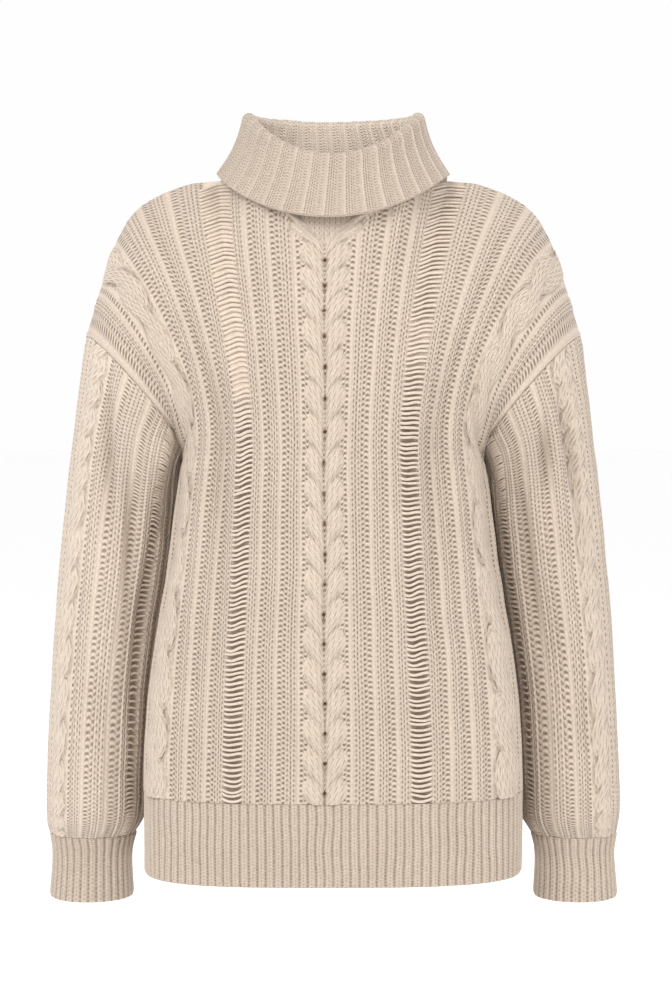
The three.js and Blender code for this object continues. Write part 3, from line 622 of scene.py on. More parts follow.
def plait_relief(wales, rows):
    """The centre plait, its eyelets, and the ribbed wedge where its strands part below the neck."""
    away = np.abs(wales)
    part = np.maximum(rows - PLAIT_PART_ROW, 0) * PLAIT_PART_SLOPE
    inner = away - part
    bend = 1 - np.exp(-np.maximum(inner, 0) / PLAIT_BEND)
    count = np.interp(rows - PLAIT_DROP * bend, *PLAIT_REPEATS)
    within = count - np.floor(count)
    # The edge swells where a strand comes round and draws in at the notch between two.
    half = PLAIT_HALF - 0.3 * part + PLAIT_SWELL * np.sin(2 * math.pi * (within - 0.2))
    across = (inner - PLAIT_VALLEY) / (half - PLAIT_VALLEY)
    inside = np.clip(across, 0, 1)
    dome = np.sin(math.pi * inside**0.8) ** 0.5
    strand = np.sin(math.pi * within**0.7) ** 0.7
    raised = PLAIT_RAISE * dome * (0.2 + 0.8 * strand)
    # Painted shade in the creases between strands and along their edges, and a painted highlight on each
    # strand's bulge.
    crease = bell(np.minimum(within, 1.3 * (1 - within)), 0.13)
    sides = bell(1 - inside, 0.13) + 0.7 * bell(inside, 0.12)
    strand_edge_shade = 0.5 * sides * np.minimum(part / 6, 1)
    painted_highlight = 0.42 * strand * dome * (0.4 + 0.6 * inside)
    shade = crease * (0.16 + 0.5 * inside**2) - painted_highlight + strand_edge_shade + PLAIT_SHADE

    # The eyelets are sunk, with painted shade where the holes would show the shadowed inside.
    to_eyelet = ((np.interp(rows, *PLAIT_REPEATS) + 0.5) % 1 - 0.5) * EYELET_PITCH
    large = bell(away, EYELET_RADIUS) * bell(to_eyelet, EYELET_RADIUS)
    small = bell(away, SMALL_EYELET_RADIUS) * bell(to_eyelet + SMALL_EYELET_DROP, SMALL_EYELET_RADIUS)
    # Painted shade in a small sunk dot on every other row of points
    bead = 0.42 * bell(away, 0.9) * (np.arange(len(rows)) % 2)[:, None]
    eyelet = np.maximum(np.maximum(large, 0.6 * small), bead) * (rows < PLAIT_PART_ROW + 4)
    raised = np.maximum(raised, 1.5 * bell(away, 2)) - EYELET_DEPTH * eyelet
    shade = np.maximum(shade, EYELET_SHADE * eyelet)

    lean = PLAIT_LEAN * bend + PLAIT_STEEP * inner
    narrow = np.abs(np.sin(math.pi * wales / NARROW_RIB)) ** 0.8
    wedge = (rows > PLAIT_PART_ROW + 1) & (across < 0)
    raised = np.where(wedge, NARROW_RAISE * narrow, raised)
    u = np.where(wedge, wales / NARROW_RIB, (rows - lean) / PLAIT_WALE)
    v = np.where(wedge, rows / STITCH_ROW, rows / STRAND_ROW)
    shade = np.where(wedge, 0.2 * (1 - narrow), shade)
    whole = np.ones_like(raised)
    return inner <= half, np.stack([raised, u, v, whole, shade, PLAIT_CALM * whole])


def panel_relief(face_name, wales, rows, shift):
    """The relief of a whole panel. The shift is how far its stitch rows wander up, in stitches."""
    relief = np.zeros((6, *rows.shape))
    raised, u, v, knit, shade, calm = relief
    v += rows / STITCH_ROW + shift
    away = np.abs(wales)
    for number, kind, inside, across in columns_at(PANEL_COLUMNS, away):
        u[:, inside] = (1 if kind == "purl" else 2) * across[inside] + 2 * number
        knit[:, inside] = kind == "knit"
        if kind == "knit":
            raised[:, inside] = knit_pair(across[inside])
            calm[:, inside] = SELVEDGE_CALM if number == len(PANEL_COLUMNS) - 1 else 0
        elif kind == "purl":
            raised[:, inside] = purl_column(across[inside])
        for side in (-1, 1):
            here = inside & (side * wales > 0)
            if kind == "ladder":
                sunk = ladder_floor(across[here])
                dark = np.interp(rows[:, here], *LADDER_SHADES[face_name, side])
                raised[:, here] = -LADDER_SINK * sunk * np.clip(0.5 + dark, 0.15, 1)
                shade[:, here] = dark * sunk
                calm[:, here] = 1
            elif kind == "rope":
                crossings = ROPE_CROSSINGS[side]
                turns = np.interp(rows[:, here], crossings, np.arange(len(crossings)))
                # Both ropes twist the same way, so the place across runs with x and not outwards.
                place = side * (2 * across[here] - 1)
                relief[:, :, here] = rope_relief(place, turns, rows[:, here], ROPE)
    near = away <= PLAIT_REACH
    covers, plait = plait_relief(wales[near], rows[:, near])
    relief[:, :, near] = np.where(covers, plait, relief[:, :, near])
    return relief


def calm_places(u, v):
    """Where stitches of two runs meet, the stitch pattern fades out, as one quad can't hold both."""
    calm = np.zeros(u.shape)
    for layer, across, along in ((calm, u, v), (calm.T, u.T, v.T)):
        steps = np.maximum(np.abs(np.diff(across, axis=0)), 0.8 * np.abs(np.diff(along, axis=0)))
        for end in (layer[:-1], layer[1:]):
            end[steps > BROKEN_STEP] = 1
    return calm


# Meshes


def zipper(left, right, left_at, right_at):
    """Triangles between two lines of vertex numbers, taking the nearer next point each time."""
    triangles = []
    i = j = 0
    while i < len(left) - 1 or j < len(right) - 1:
        left_next = left_at[i + 1] if i < len(left) - 1 else math.inf
        right_next = right_at[j + 1] if j < len(right) - 1 else math.inf
        if left_next <= right_next:
            triangles.append((left[i], right[j], left[i + 1]))
            i += 1
        else:
            triangles.append((left[i], right[j], right[j + 1]))
            j += 1
    return np.array(triangles)


def add_object(name, data):
    thing = bpy.data.objects.new(name, data)
    bpy.context.scene.collection.objects.link(thing)
    return thing


def closed(grid, gain=0):
    """A ring's grid with its first column again at the end."""
    return np.hstack([grid, grid[:, :1] + gain])


class Cloth:
    """Collects closed walls of cloth and lengths of yarn, and makes one mesh of them."""

    def __init__(self, name):
        self.name = name
        self.count = 0
        self.points, self.looks = [], []
        self.faces, self.stitches = {4: [], 3: []}, {4: [], 3: []}

    def add_points(self, points, knit=0, shade=0, calm=0):
        """Adds a grid of points with their looks, and gives its grid of vertex numbers."""
        shape = points.shape[:-1]
        looks = [np.broadcast_to(look, shape).reshape(-1) for look in (knit, shade, calm)]
        self.points.append(points.reshape(-1, 3))
        self.looks.append(np.stack(looks))
        first = self.count
        self.count += len(self.points[-1])
        return np.arange(first, self.count).reshape(shape)

    def add_faces(self, faces, stitches=None):
        """Adds faces of three or four corners. Those without a place in a stitch are cut edges."""
        if stitches is None:
            stitches = np.full((*faces.shape, 2), PLAIN_UV)
        self.faces[faces.shape[1]].append(faces)
        self.stitches[faces.shape[1]].append(stitches)

    def add_grid(self, numbers, u, v, order=1):
        rows, columns = numbers.shape[0] - 1, numbers.shape[1] - 1
        corners = [(0, 0), (0, 1), (1, 1), (1, 0)][::order]
        quads = lambda grid: np.stack([grid[i:, j:][:rows, :columns].reshape(-1) for i, j in corners], 1)
        self.add_faces(quads(numbers), np.stack([quads(u), quads(v)], -1))

    def add_wall(self, outer, inner, looks, u, v, outer_at, inner_at, around=None):
        """A closed wall. Its looks are kind, shade and calm. A ring's u gains as much as around says."""
        ring = around is not None
        if ring:
            u, v = closed(u, around), closed(v)
            outer_at, inner_at = (np.append(at, at[0] + 1) for at in (outer_at, inner_at))
        knit, shade, calm = looks
        calm = np.maximum(calm, calm_places(u, v)[:, : outer.shape[1]])
        out, into = self.add_points(outer, knit, shade, calm), self.add_points(inner)
        if ring:
            out, into = closed(out), closed(into)
        self.add_grid(out, u, v)
        plain = np.zeros(into.shape)
        self.add_grid(into, plain + np.arange(into.shape[1]), plain + v[:, :1], -1)
        for end, order in ((0, 1), (-1, -1)):
            self.add_faces(zipper(into[end], out[end], inner_at, outer_at)[:, ::order])
            if not ring:
                a, b = out[:, end], into[:, end]
                self.add_faces(np.stack([b[:-1], a[:-1], a[1:], b[1:]], 1)[:, ::order])

    def make(self, sharp_degrees=SHARP_DEGREES):
        points = np.concatenate(self.points)
        quads, triangles = (np.concatenate(faces) for faces in self.faces.values())
        split = np.concatenate([quads[:, :3], quads[:, [0, 2, 3]], triangles])
        a, b, c = (points[split[:, corner]] for corner in range(3))
        # A wall that encloses less than nothing is inside out.
        order = -1 if np.einsum("ij,ij->i", a, np.cross(b, c)).sum() < 0 else 1
        mesh = bpy.data.meshes.new(self.name)
        faces = quads[:, ::order].tolist() + triangles[:, ::order].tolist()
        mesh.from_pydata(points / 1000, [], faces, shade_flat=False)
        mesh.validate()
        layer = mesh.uv_layers.new(name="stitch")
        stitches = [np.concatenate(found)[:, ::order].reshape(-1) for found in self.stitches.values()]
        layer.data.foreach_set("uv", np.concatenate(stitches).astype(np.float32))
        for name, values in zip(("knit", "shade", "calm"), np.hstack(self.looks)):
            attribute = mesh.attributes.new(name, "FLOAT", "POINT")
            attribute.data.foreach_set("value", values.astype(np.float32))
        mesh.set_sharp_from_angle(angle=math.radians(sharp_degrees))
        return add_object(self.name, mesh)


def make_wall(name, *wall, around=None):
    cloth = Cloth(name)
    cloth.add_wall(*wall, around=around)
    return cloth.make()


# Panels


def panel_heights(face):
    lower = np.linspace(0, 1, round(LOWER_LENGTH / ROW_STEP) + 1)
    longest = yoke_lengths(face, np.array([NECK_WALE]))[0]
    upper = np.linspace(1, 2, round(longest / ROW_STEP) + 1)[1:]
    return np.concatenate([lower, upper])


def keep_side(face, points):
    """Keeps a panel on its own side of the seam's gap."""
    points[..., 1] = face["sign"] * np.maximum(face["sign"] * points[..., 1], SEAM_GAP / 2)
    return points


def make_panel(name, face_name, seed):
    face = FACES[face_name]
    heights = panel_heights(face)
    both = lambda half: np.concatenate([-half[:0:-1], half])
    wales = both(column_points(PANEL_COLUMNS))
    points, normals, rows, folds = panel_surface(face, wales, heights)
    shift = 0.5 * noise(wales / 38 + 9, rows / 70, seed)
    raised, u, v, knit, shade, calm = panel_relief(face_name, wales, rows, shift)
    # The relief flattens towards the side seam, the foot of the armhole and the top.
    to_side = HALF_PANEL - np.abs(wales)
    to_armhole = np.hypot(to_side / 14, (heights[:, None] - 1) / 0.12)
    raised *= np.minimum(to_armhole, 1) * np.minimum(to_side / 4, 1)
    raised *= np.clip((rows[-1] - rows) / 9, 0, 1) ** 0.5
    fade = edge_fade(wales, heights)
    raised += 0.35 * noise(wales / 17, rows / 21, seed + 1) * fade
    shade -= FOLD_SHADE * np.minimum(folds, 0)
    wander = 0.7 * noise(wales / 55, rows / 42, seed + 2) * fade
    sideways = unit(np.gradient(points, axis=1))
    outer = points + normals * (raised + folds)[..., None] + sideways * wander[..., None]
    inner_wales = both(np.array(INNER_WALES, float))
    base, inner_normals, _rows, inner_folds = panel_surface(face, inner_wales, heights)
    inner = base + inner_normals * (inner_folds - WALL)[..., None]
    walls = keep_side(face, outer), keep_side(face, inner)
    return make_wall(name, *walls, (knit, shade, calm), u, v, wales, inner_wales)


# Ladders of dropped stitches: the yarn runs loose from rib to rib.


def add_yarn(cloth, path, radius):
    """A closed length of yarn along a path."""
    along = unit(np.gradient(path, axis=0))
    across = unit(np.cross(along, UP))
    over = np.cross(across, along)
    angle = np.arange(RUNG_SIDES)[:, None] / RUNG_SIDES * 2 * math.pi
    rings = across[:, None] * np.cos(angle) + over[:, None] * np.sin(angle)
    numbers = closed(cloth.add_points(path[:, None] + rings * radius, 1, RUNG_SHADE, 1))
    plain = np.zeros(numbers.shape)
    u = plain + np.arange(RUNG_SIDES + 1) / RUNG_SIDES
    cloth.add_grid(numbers, u, plain + (arc_lengths(path) / STITCH_ROW)[:, None])
    for ring, order in ((numbers[0], 1), (numbers[-1], -1)):
        fan = np.array([(ring[0], ring[k + 1], ring[k]) for k in range(1, RUNG_SIDES - 1)])
        cloth.add_faces(fan[:, ::order])


def lay_rungs(cloth, points, normals, shapes, seen, random):
    """One yarn for each row of a grid of points. Its shape is its tilt, sag, wave and thickness."""
    upwards = unit(np.gradient(points, axis=0))
    place = np.linspace(-1, 1, points.shape[1])
    for row, shape in enumerate(shapes):
        tilt, sag, wave = shape[:3] + random.normal(0, 0.3, 3)
        # The tilt and wave are as seen from in front, so they turn over with the side.
        drop = tilt * seen * place / 2 - sag * (1 - place**2)
        drop = drop + 0.8 * wave * np.sin(math.pi * seen * place) + random.normal(0, 0.22)
        lift = 0.2 + random.normal(0, 0.25) + 0.6 * (1 - place**2)
        path = points[row] + normals[row] * lift[:, None] + upwards[row] * drop[:, None]
        add_yarn(cloth, path, RUNG_RADIUS * shape[3] * (1 + random.normal(0, 0.06)))


def make_rungs(name, face_name, seed):
    """All the rungs of a panel's two ladders, as one mesh."""
    face = FACES[face_name]
    cloth = Cloth(name)
    start, end = ladder_edges(PANEL_COLUMNS)
    middle = (start + end) / 2
    half = (end - start) / 2 + RUNG_REACH
    yoke = yoke_lengths(face, np.array([middle]))[0]
    rows = np.arange(RUNG_START, LOWER_LENGTH + yoke - RUNG_TOP_SPACE, RUNG_PITCH)
    heights = np.where(rows <= LOWER_LENGTH, rows / LOWER_LENGTH, 1 + (rows - LOWER_LENGTH) / yoke)
    random = np.random.default_rng(seed)
    for side in (-1, 1):
        wales = side * (middle + half * np.linspace(-1, 1, 9))
        points = panel_points(face, wales, heights)
        normals = grid_normals(points)
        normals *= np.sign(normals[:1, 4:5, 1:2] * face["sign"])
        folds = fold_depths(face["folds"], wales, panel_rows(face, wales, heights))
        points += normals * (folds * edge_fade(wales, heights))[..., None]
        shapes = read_table(RUNG_SHAPES[face_name, side], rows)
        lay_rungs(cloth, points, normals, shapes, side, random)
    return cloth.make(ROUND_DEGREES)


# Sleeves and cuffs


def ring_points(rings, side, downs, shares):
    """Points of a ring table: one row for each share of its length, going down."""
    keyed = [(i / (len(rings) - 1), *ring) for i, ring in enumerate(rings)]
    out_x, out_z, in_x, in_z, half_depth, set_back = read_table(keyed, downs).T[:, :, None]
    spread = np.cos(2 * math.pi * shares)
    x = side * (out_x + in_x - spread * (out_x - in_x)) / 2
    y = set_back - half_depth * np.sin(2 * math.pi * shares)
    z = (out_z + in_z - spread * (out_z - in_z)) / 2
    return np.stack([x, y, z], -1)


def by_face(shares, front, back):
    """A ring's values: the front panel's up to the top, then the back panel's."""
    return np.where((shares <= 0.5)[:, None], front, back)


def armhole_points(side, shares):
    """The armhole's edge: up the front panel's edge, then down the back panel's."""
    up = 2 * np.minimum(shares, 1 - shares)
    edge = np.array([side * HALF_PANEL])
    sides = [keep_side(face, yoke_rows(face, edge, up)[:, 0]) for face in FACES.values()]
    return by_face(shares, *sides)


def sleeve_points(side, downs, shares):
    shares = shares - np.floor(shares)
    points = ring_points(SLEEVE_RINGS, side, downs, shares)
    fade = np.maximum(1 - downs / SLEEVE_BLEND, 0) ** 2
    shift = armhole_points(side, shares) - ring_points(SLEEVE_RINGS, side, np.zeros(1), shares)[0]
    return points + fade[:, None, None] * shift


def outward(normals, points, rings):
    """Turns normals away from the middles of a tube's rings."""
    away = points - rings.mean(axis=1, keepdims=True)
    return normals * np.sign(np.sum(normals * away, axis=-1, keepdims=True))


def tube_normals(points):
    return outward(grid_normals(points, tube=True), points, points)


def sleeve_relief(side, downs, shares):
    rows = downs[:, None] * SLEEVE_LENGTH + 0 * shares
    relief = np.zeros((6, *rows.shape))
    raised, u, v, knit, shade, calm = relief
    v -= rows / STITCH_ROW
    for number, kind, inside, across in columns_at(SLEEVE_COLUMNS, np.minimum(shares, 1 - shares)):
        if kind == "rope":
            for front in (True, False):
                here = inside & ((shares <= 0.5) == front)
                seen = side * (1 if front else -1) * (2 * across[here] - 1)
                turns = rows[:, here] / SLEEVE_ROPE_PERIOD + 0.4 * front
                relief[:, :, here] = rope_relief(seen, turns, -rows[:, here], SLEEVE_ROPE)
            continue
        across = across[inside]
        u[:, inside] = (2 if kind == "knit" else 1) * across + 2 * number
        if kind == "knit":
            raised[:, inside] = SLEEVE_KNIT * knit_pair(across)
            knit[:, inside] = 1
        elif kind == "ladder":
            raised[:, inside] = -SLEEVE_LADDER_SINK * ladder_floor(across)
            shade[:, inside] = SLEEVE_LADDER_SHADE * ladder_floor(across)
            calm[:, inside] = 1
        else:
            raised[:, inside] = purl_column(across)
    return relief


def sleeve_folds(side, downs, shares):
    fade = np.clip(np.minimum(downs / 0.08, (1 - downs) / 0.1), 0, 1)[:, None]
    return fold_depths(SLEEVE_FOLDS[side], shares, downs[:, None]) * fade


def sleeve_surface(side, downs, shares, raised):
    """A sleeve's surface. Its first ring lies a seam's gap below the armhole, its last ring is level."""
    points = sleeve_points(side, downs, shares)
    lifted = raised + sleeve_folds(side, downs, shares)
    result = points + tube_normals(points) * lifted[..., None]
    result[-1, :, 2] = points[-1, :, 2]
    part = 2 * np.minimum(shares, 1 - shares)
    edge = by_face(shares, *(armhole_normals(face, side, part) for face in FACES.values()))
    high = (1 - np.cos(math.pi * part)) / 2
    low = 1 - high
    push = np.stack([side * (0.97 * low + 0.2 * high), 0 * low, 0.25 * low - 0.98 * high], -1)
    result[0] = points[0] + edge * np.minimum(raised[0], 0)[:, None] + SEAM_GAP * unit(push)
    return result


def make_sleeve(name, side, seed):
    half = column_points(SLEEVE_COLUMNS)
    shares = np.concatenate([half, 1 - half[-2:0:-1]])
    downs = np.concatenate([[0, 0.003], np.linspace(0.008, 1, round(SLEEVE_LENGTH / ROW_STEP))])
    pattern = np.sort((shares + SLEEVE_TURN[side]) % 1)
    relief = sleeve_relief(side, downs, (pattern - SLEEVE_TURN[side]) % 1)
    raised, u, v, knit, shade, calm = relief
    # The relief flattens at the armhole, and further down along the underarm.
    down = downs[:, None]
    from_underarm = np.minimum(pattern, 1 - pattern) / 0.07
    raised *= np.minimum(down / 0.02, 1) * np.clip(np.maximum(from_underarm, down / 0.25), 0, 1)
    raised += 0.4 * noise(pattern * 24, down * 20, seed)
    raised[0] = 0
    shade -= FOLD_SHADE * np.minimum(sleeve_folds(side, downs, pattern), 0) + SLEEVE_LIFT[side]
    v += 0.5 * noise(pattern * 11, down * 7, seed + 1)
    outer = sleeve_surface(side, downs, pattern, raised)
    inner = sleeve_surface(side, downs, INNER_RING, np.full((len(downs), len(INNER_RING)), -WALL))
    return make_wall(name, outer, inner, (knit, shade, calm), u, v, pattern, INNER_RING, around=0)


def make_sleeve_rungs(name, side, seed):
    """The rungs of the ladder on the front of a sleeve and of the one behind, as one mesh."""
    cloth = Cloth(name)
    random = np.random.default_rng(seed)
    start, end = ladder_edges(SLEEVE_COLUMNS)
    place = np.linspace(start - 0.004, end + 0.004, 7)
    downs = np.arange(6, SLEEVE_LENGTH - RUNG_TOP_SPACE, RUNG_PITCH) / SLEEVE_LENGTH
    rings = sleeve_points(side, downs, np.arange(16) / 16)
    for ladder in (place, 1 - place[::-1]):
        shares = ladder + SLEEVE_TURN[side]
        points = sleeve_points(side, downs, shares)
        normals = outward(grid_normals(points), points, rings)
        points += normals * sleeve_folds(side, downs, shares)[..., None]
        shapes = np.tile([0.3, 0.5, 0.3, 0.95], (len(downs), 1))
        shapes[:, 0] += 1.5 * np.sin(downs * 17 + seed)
        shapes[:, 1] += 0.6 * np.sin(downs * 23)
        lay_rungs(cloth, points, normals, shapes, side, random)
    return cloth.make(ROUND_DEGREES)


def narrow_rib(shares, ribs, wander):
    """One knit wale and one narrow purl groove for each rib: raise, stitch coordinate and looks."""
    shares = shares + wander / ribs
    across = (shares * ribs) % 1
    ridge = np.clip(np.abs(across - 0.5) / 0.34, 0, 1)
    raised = BORDER_RAISE * np.sqrt(1 - ridge**2)
    u = np.floor(shares * ribs + 1e-9) + 0.07 + 0.86 * np.clip((across - 0.16) / 0.68, 0, 1)
    valley = bell(np.minimum(across, 1 - across), 0.14)
    return raised, u, (1, BORDER_SHADE * valley + 0.1, BORDER_CALM)


def raise_band(points, normals, raised):
    """A ribbed band's surface, with level ends."""
    result = points + normals * raised[..., None]
    result[[0, -1], :, 2] = points[[0, -1], :, 2]
    return result


def cuff_surface(side, downs, shares, raised):
    points = ring_points(CUFF_RINGS, side, downs, shares)
    return raise_band(points, tube_normals(points), raised)


def make_cuff(name, side, seed):
    shares = np.arange(CUFF_RIBS * CUFF_RIB_POINTS) / (CUFF_RIBS * CUFF_RIB_POINTS)
    downs = np.linspace(0, 1, CUFF_ROWS)
    down = downs[:, None]
    # The wander is the same where the ring closes.
    wander = BORDER_WANDER * noise(3 * np.sin(2 * math.pi * shares), down * 3, seed + 3)
    raised, u, looks = narrow_rib(shares, CUFF_RIBS, wander)
    raised *= np.sqrt(np.clip(np.minimum(down, 1 - down) / 0.03, 0.05, 1))
    raised += 0.25 * noise(shares * 20, down * 4, seed)
    v = -down * CUFF_LENGTH / BORDER_ROW + 0 * u
    outer = cuff_surface(side, downs, shares, raised)
    inner = cuff_surface(side, downs, INNER_RING, np.full((len(downs), len(INNER_RING)), -WALL))
    return make_wall(name, outer, inner, looks, u, v, shares, INNER_RING, around=CUFF_RIBS)


def hem_surface(face, wales, heights, raised):
    points = section_rows(face, wales, heights)
    normals = grid_normals(points)
    if normals[0, len(wales) // 2, 1] * face["sign"] < 0:
        normals = -normals
    normals[:, 0] = (-1, 0, 0)
    normals[:, -1] = (1, 0, 0)
    return keep_side(face, raise_band(points, normals, raised))


def make_hem(name, face, seed):
    shares = np.arange(HEM_RIBS * HEM_RIB_POINTS + 1) / (HEM_RIBS * HEM_RIB_POINTS)
    wales = HALF_PANEL * (2 * shares - 1)
    to_side = HALF_PANEL - np.abs(wales)
    top = PANEL_BOTTOM_Z - SEAM_GAP
    heights = np.linspace(HEM_BOTTOM_Z, top, HEM_ROWS)
    height = heights[:, None]
    wander = BORDER_WANDER * np.minimum(to_side / 12, 1) * noise(wales / 30, height / 26, seed + 3)
    raised, u, looks = narrow_rib(shares, HEM_RIBS, wander)
    to_end = np.minimum(height - HEM_BOTTOM_Z, 4 * (top - height) + 1.2)
    raised *= np.sqrt(np.clip(to_end / 2.2, 0.05, 1))
    raised += 0.25 * noise(wales / 16, height / 18, seed)
    raised *= np.minimum(to_side / 3, 1)
    inner_wales = np.linspace(-HALF_PANEL, HALF_PANEL, HEM_INNER_POINTS)
    outer = hem_surface(face, wales, heights, raised)
    inner = hem_surface(face, inner_wales, heights, np.full((HEM_ROWS, HEM_INNER_POINTS), -WALL))
    return make_wall(name, outer, inner, looks, u, height / BORDER_ROW + 0 * u, wales, inner_wales)


# Collar


def neck_points(shares):
    """The neckline as one closed curve of both panels' edges, by its share of the length."""
    steps = 48
    runs = [
        (FACES["front"], 0, NECK_WALE, steps),
        (FACES["back"], NECK_WALE, -NECK_WALE, 2 * steps),
        (FACES["front"], -NECK_WALE, 0, steps),
    ]
    points = []
    for face, start, end, count in runs:
        wales = start + (end - start) * np.arange(count) / count
        points.extend(yoke_rows(face, wales, np.ones(1))[0])
    ring = np.array([*points, points[0]])
    lengths = arc_lengths(ring)
    target = (shares % 1) * lengths[-1]
    return np.stack([np.interp(target, lengths, ring[:, k]) for k in range(3)], 1)


def collar_ring(sizes, shares):
    """A ring of the collar, by where it lies at the sides, in front and behind."""
    ahead = np.cos(2 * math.pi * shares)
    depth = np.where(ahead > 0, sizes["front_y"], sizes["back_y"])
    end = np.where(ahead > 0, sizes["front_z"], sizes["back_z"])
    x = sizes["side_x"] * np.sin(2 * math.pi * shares) + sizes["turn"] * np.maximum(ahead, 0)
    y = depth * np.abs(ahead) ** sizes["roundness"]
    z = sizes["side_z"] + (end - sizes["side_z"]) * np.abs(ahead) ** 1.6
    return np.stack([x, y, z], 1)


def collar_middle(shares):
    """The collar's middle surface: up the stand, over the fold and down to the turned edge."""
    seam = neck_points(shares) + COLLAR_LIFT * UP
    fold = collar_ring(COLLAR_FOLD, shares)
    edge = collar_ring(COLLAR_EDGE, shares)
    radii = np.array([COLLAR_FOLD["side_x"], COLLAR_FOLD_DEPTH, math.inf])
    out = unit(fold / radii**2)
    inside = fold - out * COLLAR_FOLD_RADIUS
    outside = fold + out * COLLAR_FOLD_RADIUS
    below = (outside + edge) / 2 - out * COLLAR_FLARE
    rows = [seam + (inside - seam) * t for t in np.linspace(0, 1, STAND_ROWS)[:-1]]
    for angle in np.linspace(0, math.pi, FOLD_ROWS):
        rows.append(fold + COLLAR_FOLD_RADIUS * (UP * math.sin(angle) - out * math.cos(angle)))
    for t in np.linspace(0, 1, TURNED_ROWS)[1:]:
        rows.append(outside * (1 - t) ** 2 + below * 2 * t * (1 - t) + edge * t * t)
    return np.array(rows)


def collar_surface(shares, side, raised):
    points = collar_middle(shares)
    normals = grid_normals(points, tube=True)
    middle = STAND_ROWS // 2
    if np.dot(normals[middle, 0, :2], points[middle, 0, :2]) > 0:
        normals = -normals
    normals[0] = -neck_normals(points[0])
    offset = side * COLLAR_THICKNESS / 2 + raised
    offset[0] = WALL / 2 + side * WALL / 2
    return points + normals * offset[..., None]


def make_collar(name, seed):
    shares = np.arange(COLLAR_RIBS * COLLAR_RIB_POINTS) / (COLLAR_RIBS * COLLAR_RIB_POINTS)
    steps = np.linalg.norm(np.diff(collar_middle(shares), axis=0), axis=2).mean(axis=1)
    length = np.concatenate([[0], np.cumsum(steps)])[:, None]
    rib, across = np.divmod(shares * COLLAR_RIBS + 0.25, 1)
    knit = (across < COLLAR_KNIT).astype(float)
    purl = 1 - knit
    pair = np.clip(across / COLLAR_KNIT, 0, 1)
    back = np.clip((across - COLLAR_KNIT) / (1 - COLLAR_KNIT), 0, 1)
    ends = np.sqrt(np.clip((length[-1] - length) / 3, 0.02, 1)) * np.clip(length / 4, 0, 1)
    # The ribs flatten where the cloth turns over.
    turning = bell(length - length[STAND_ROWS + 3], 7)
    raised = COLLAR_RELIEF * knit * knit_pair(pair) * ends * (1 - 0.7 * turning)
    raised += 0.5 * noise(shares * 27, length / 26, seed) * ends
    # Painted light keeps the stand, seen inside the fold, as pale as the light round it.
    standing = np.clip((length[STAND_ROWS + 2] - length) / 8, 0, 1)
    shade = COLLAR_SHADE + COLLAR_PURL_SHADE * purl - COLLAR_INSIDE_PAINTED_LIGHT * standing
    calm = (0.15 + 0.4 * purl) * (1 - standing) + COLLAR_INSIDE_CALM * standing
    u = np.where(knit > 0, 2 * pair, 2 + back) + 4 * rib + 0 * length
    v = length / BORDER_ROW + 0.4 * noise(shares * 12, length / 40, seed)
    inner_shares = np.arange(COLLAR_RIBS * 2) / (COLLAR_RIBS * 2)
    outer = collar_surface(shares, 1, raised)
    inner = collar_surface(inner_shares, -1, np.zeros((len(length), len(inner_shares))))
    looks = (knit, shade, calm)
    return make_wall(name, outer, inner, looks, u, v, shares, inner_shares, around=4 * COLLAR_RIBS)


# Materials


def add_node(tree, kind, inputs=None, **settings):
    """A shader node. Each of its inputs is a number, a colour or another node's output."""
    node = tree.nodes.new("ShaderNode" + kind)
    for name, value in settings.items():
        setattr(node, name, value)
    for name, value in (inputs or {}).items():
        value = getattr(value, "socket", value)
        if isinstance(value, bpy.types.NodeSocket):
            tree.links.new(value, node.inputs[name])
        else:
            node.inputs[name].default_value = value
    return node


class Value:
    """A number in a material, with which sums are written as usual."""

    def __init__(self, tree, socket):
        self.tree = tree
        self.socket = socket

    def math(self, operation, *values):
        node = add_node(self.tree, "Math", dict(enumerate(values)), operation=operation)
        return Value(self.tree, node.outputs[0])

    def __add__(self, other):
        return self.math("ADD", self, other)

    def __sub__(self, other):
        return self.math("SUBTRACT", self, other)

    def __rsub__(self, other):
        return self.math("SUBTRACT", other, self)

    def __mul__(self, other):
        return self.math("MULTIPLY", self, other)

    def __pow__(self, other):
        return self.math("POWER", self, other)

    def wave(self):
        """From 1 to -1 and back for every whole number."""
        return self.math("COSINE", self * (2 * math.pi))


def mix(share, first, second):
    return share * (second - first) + first


def dots(along):
    """A wave from 0 to 1 that peaks once a row."""
    return along.wave() * 0.5 + 0.5


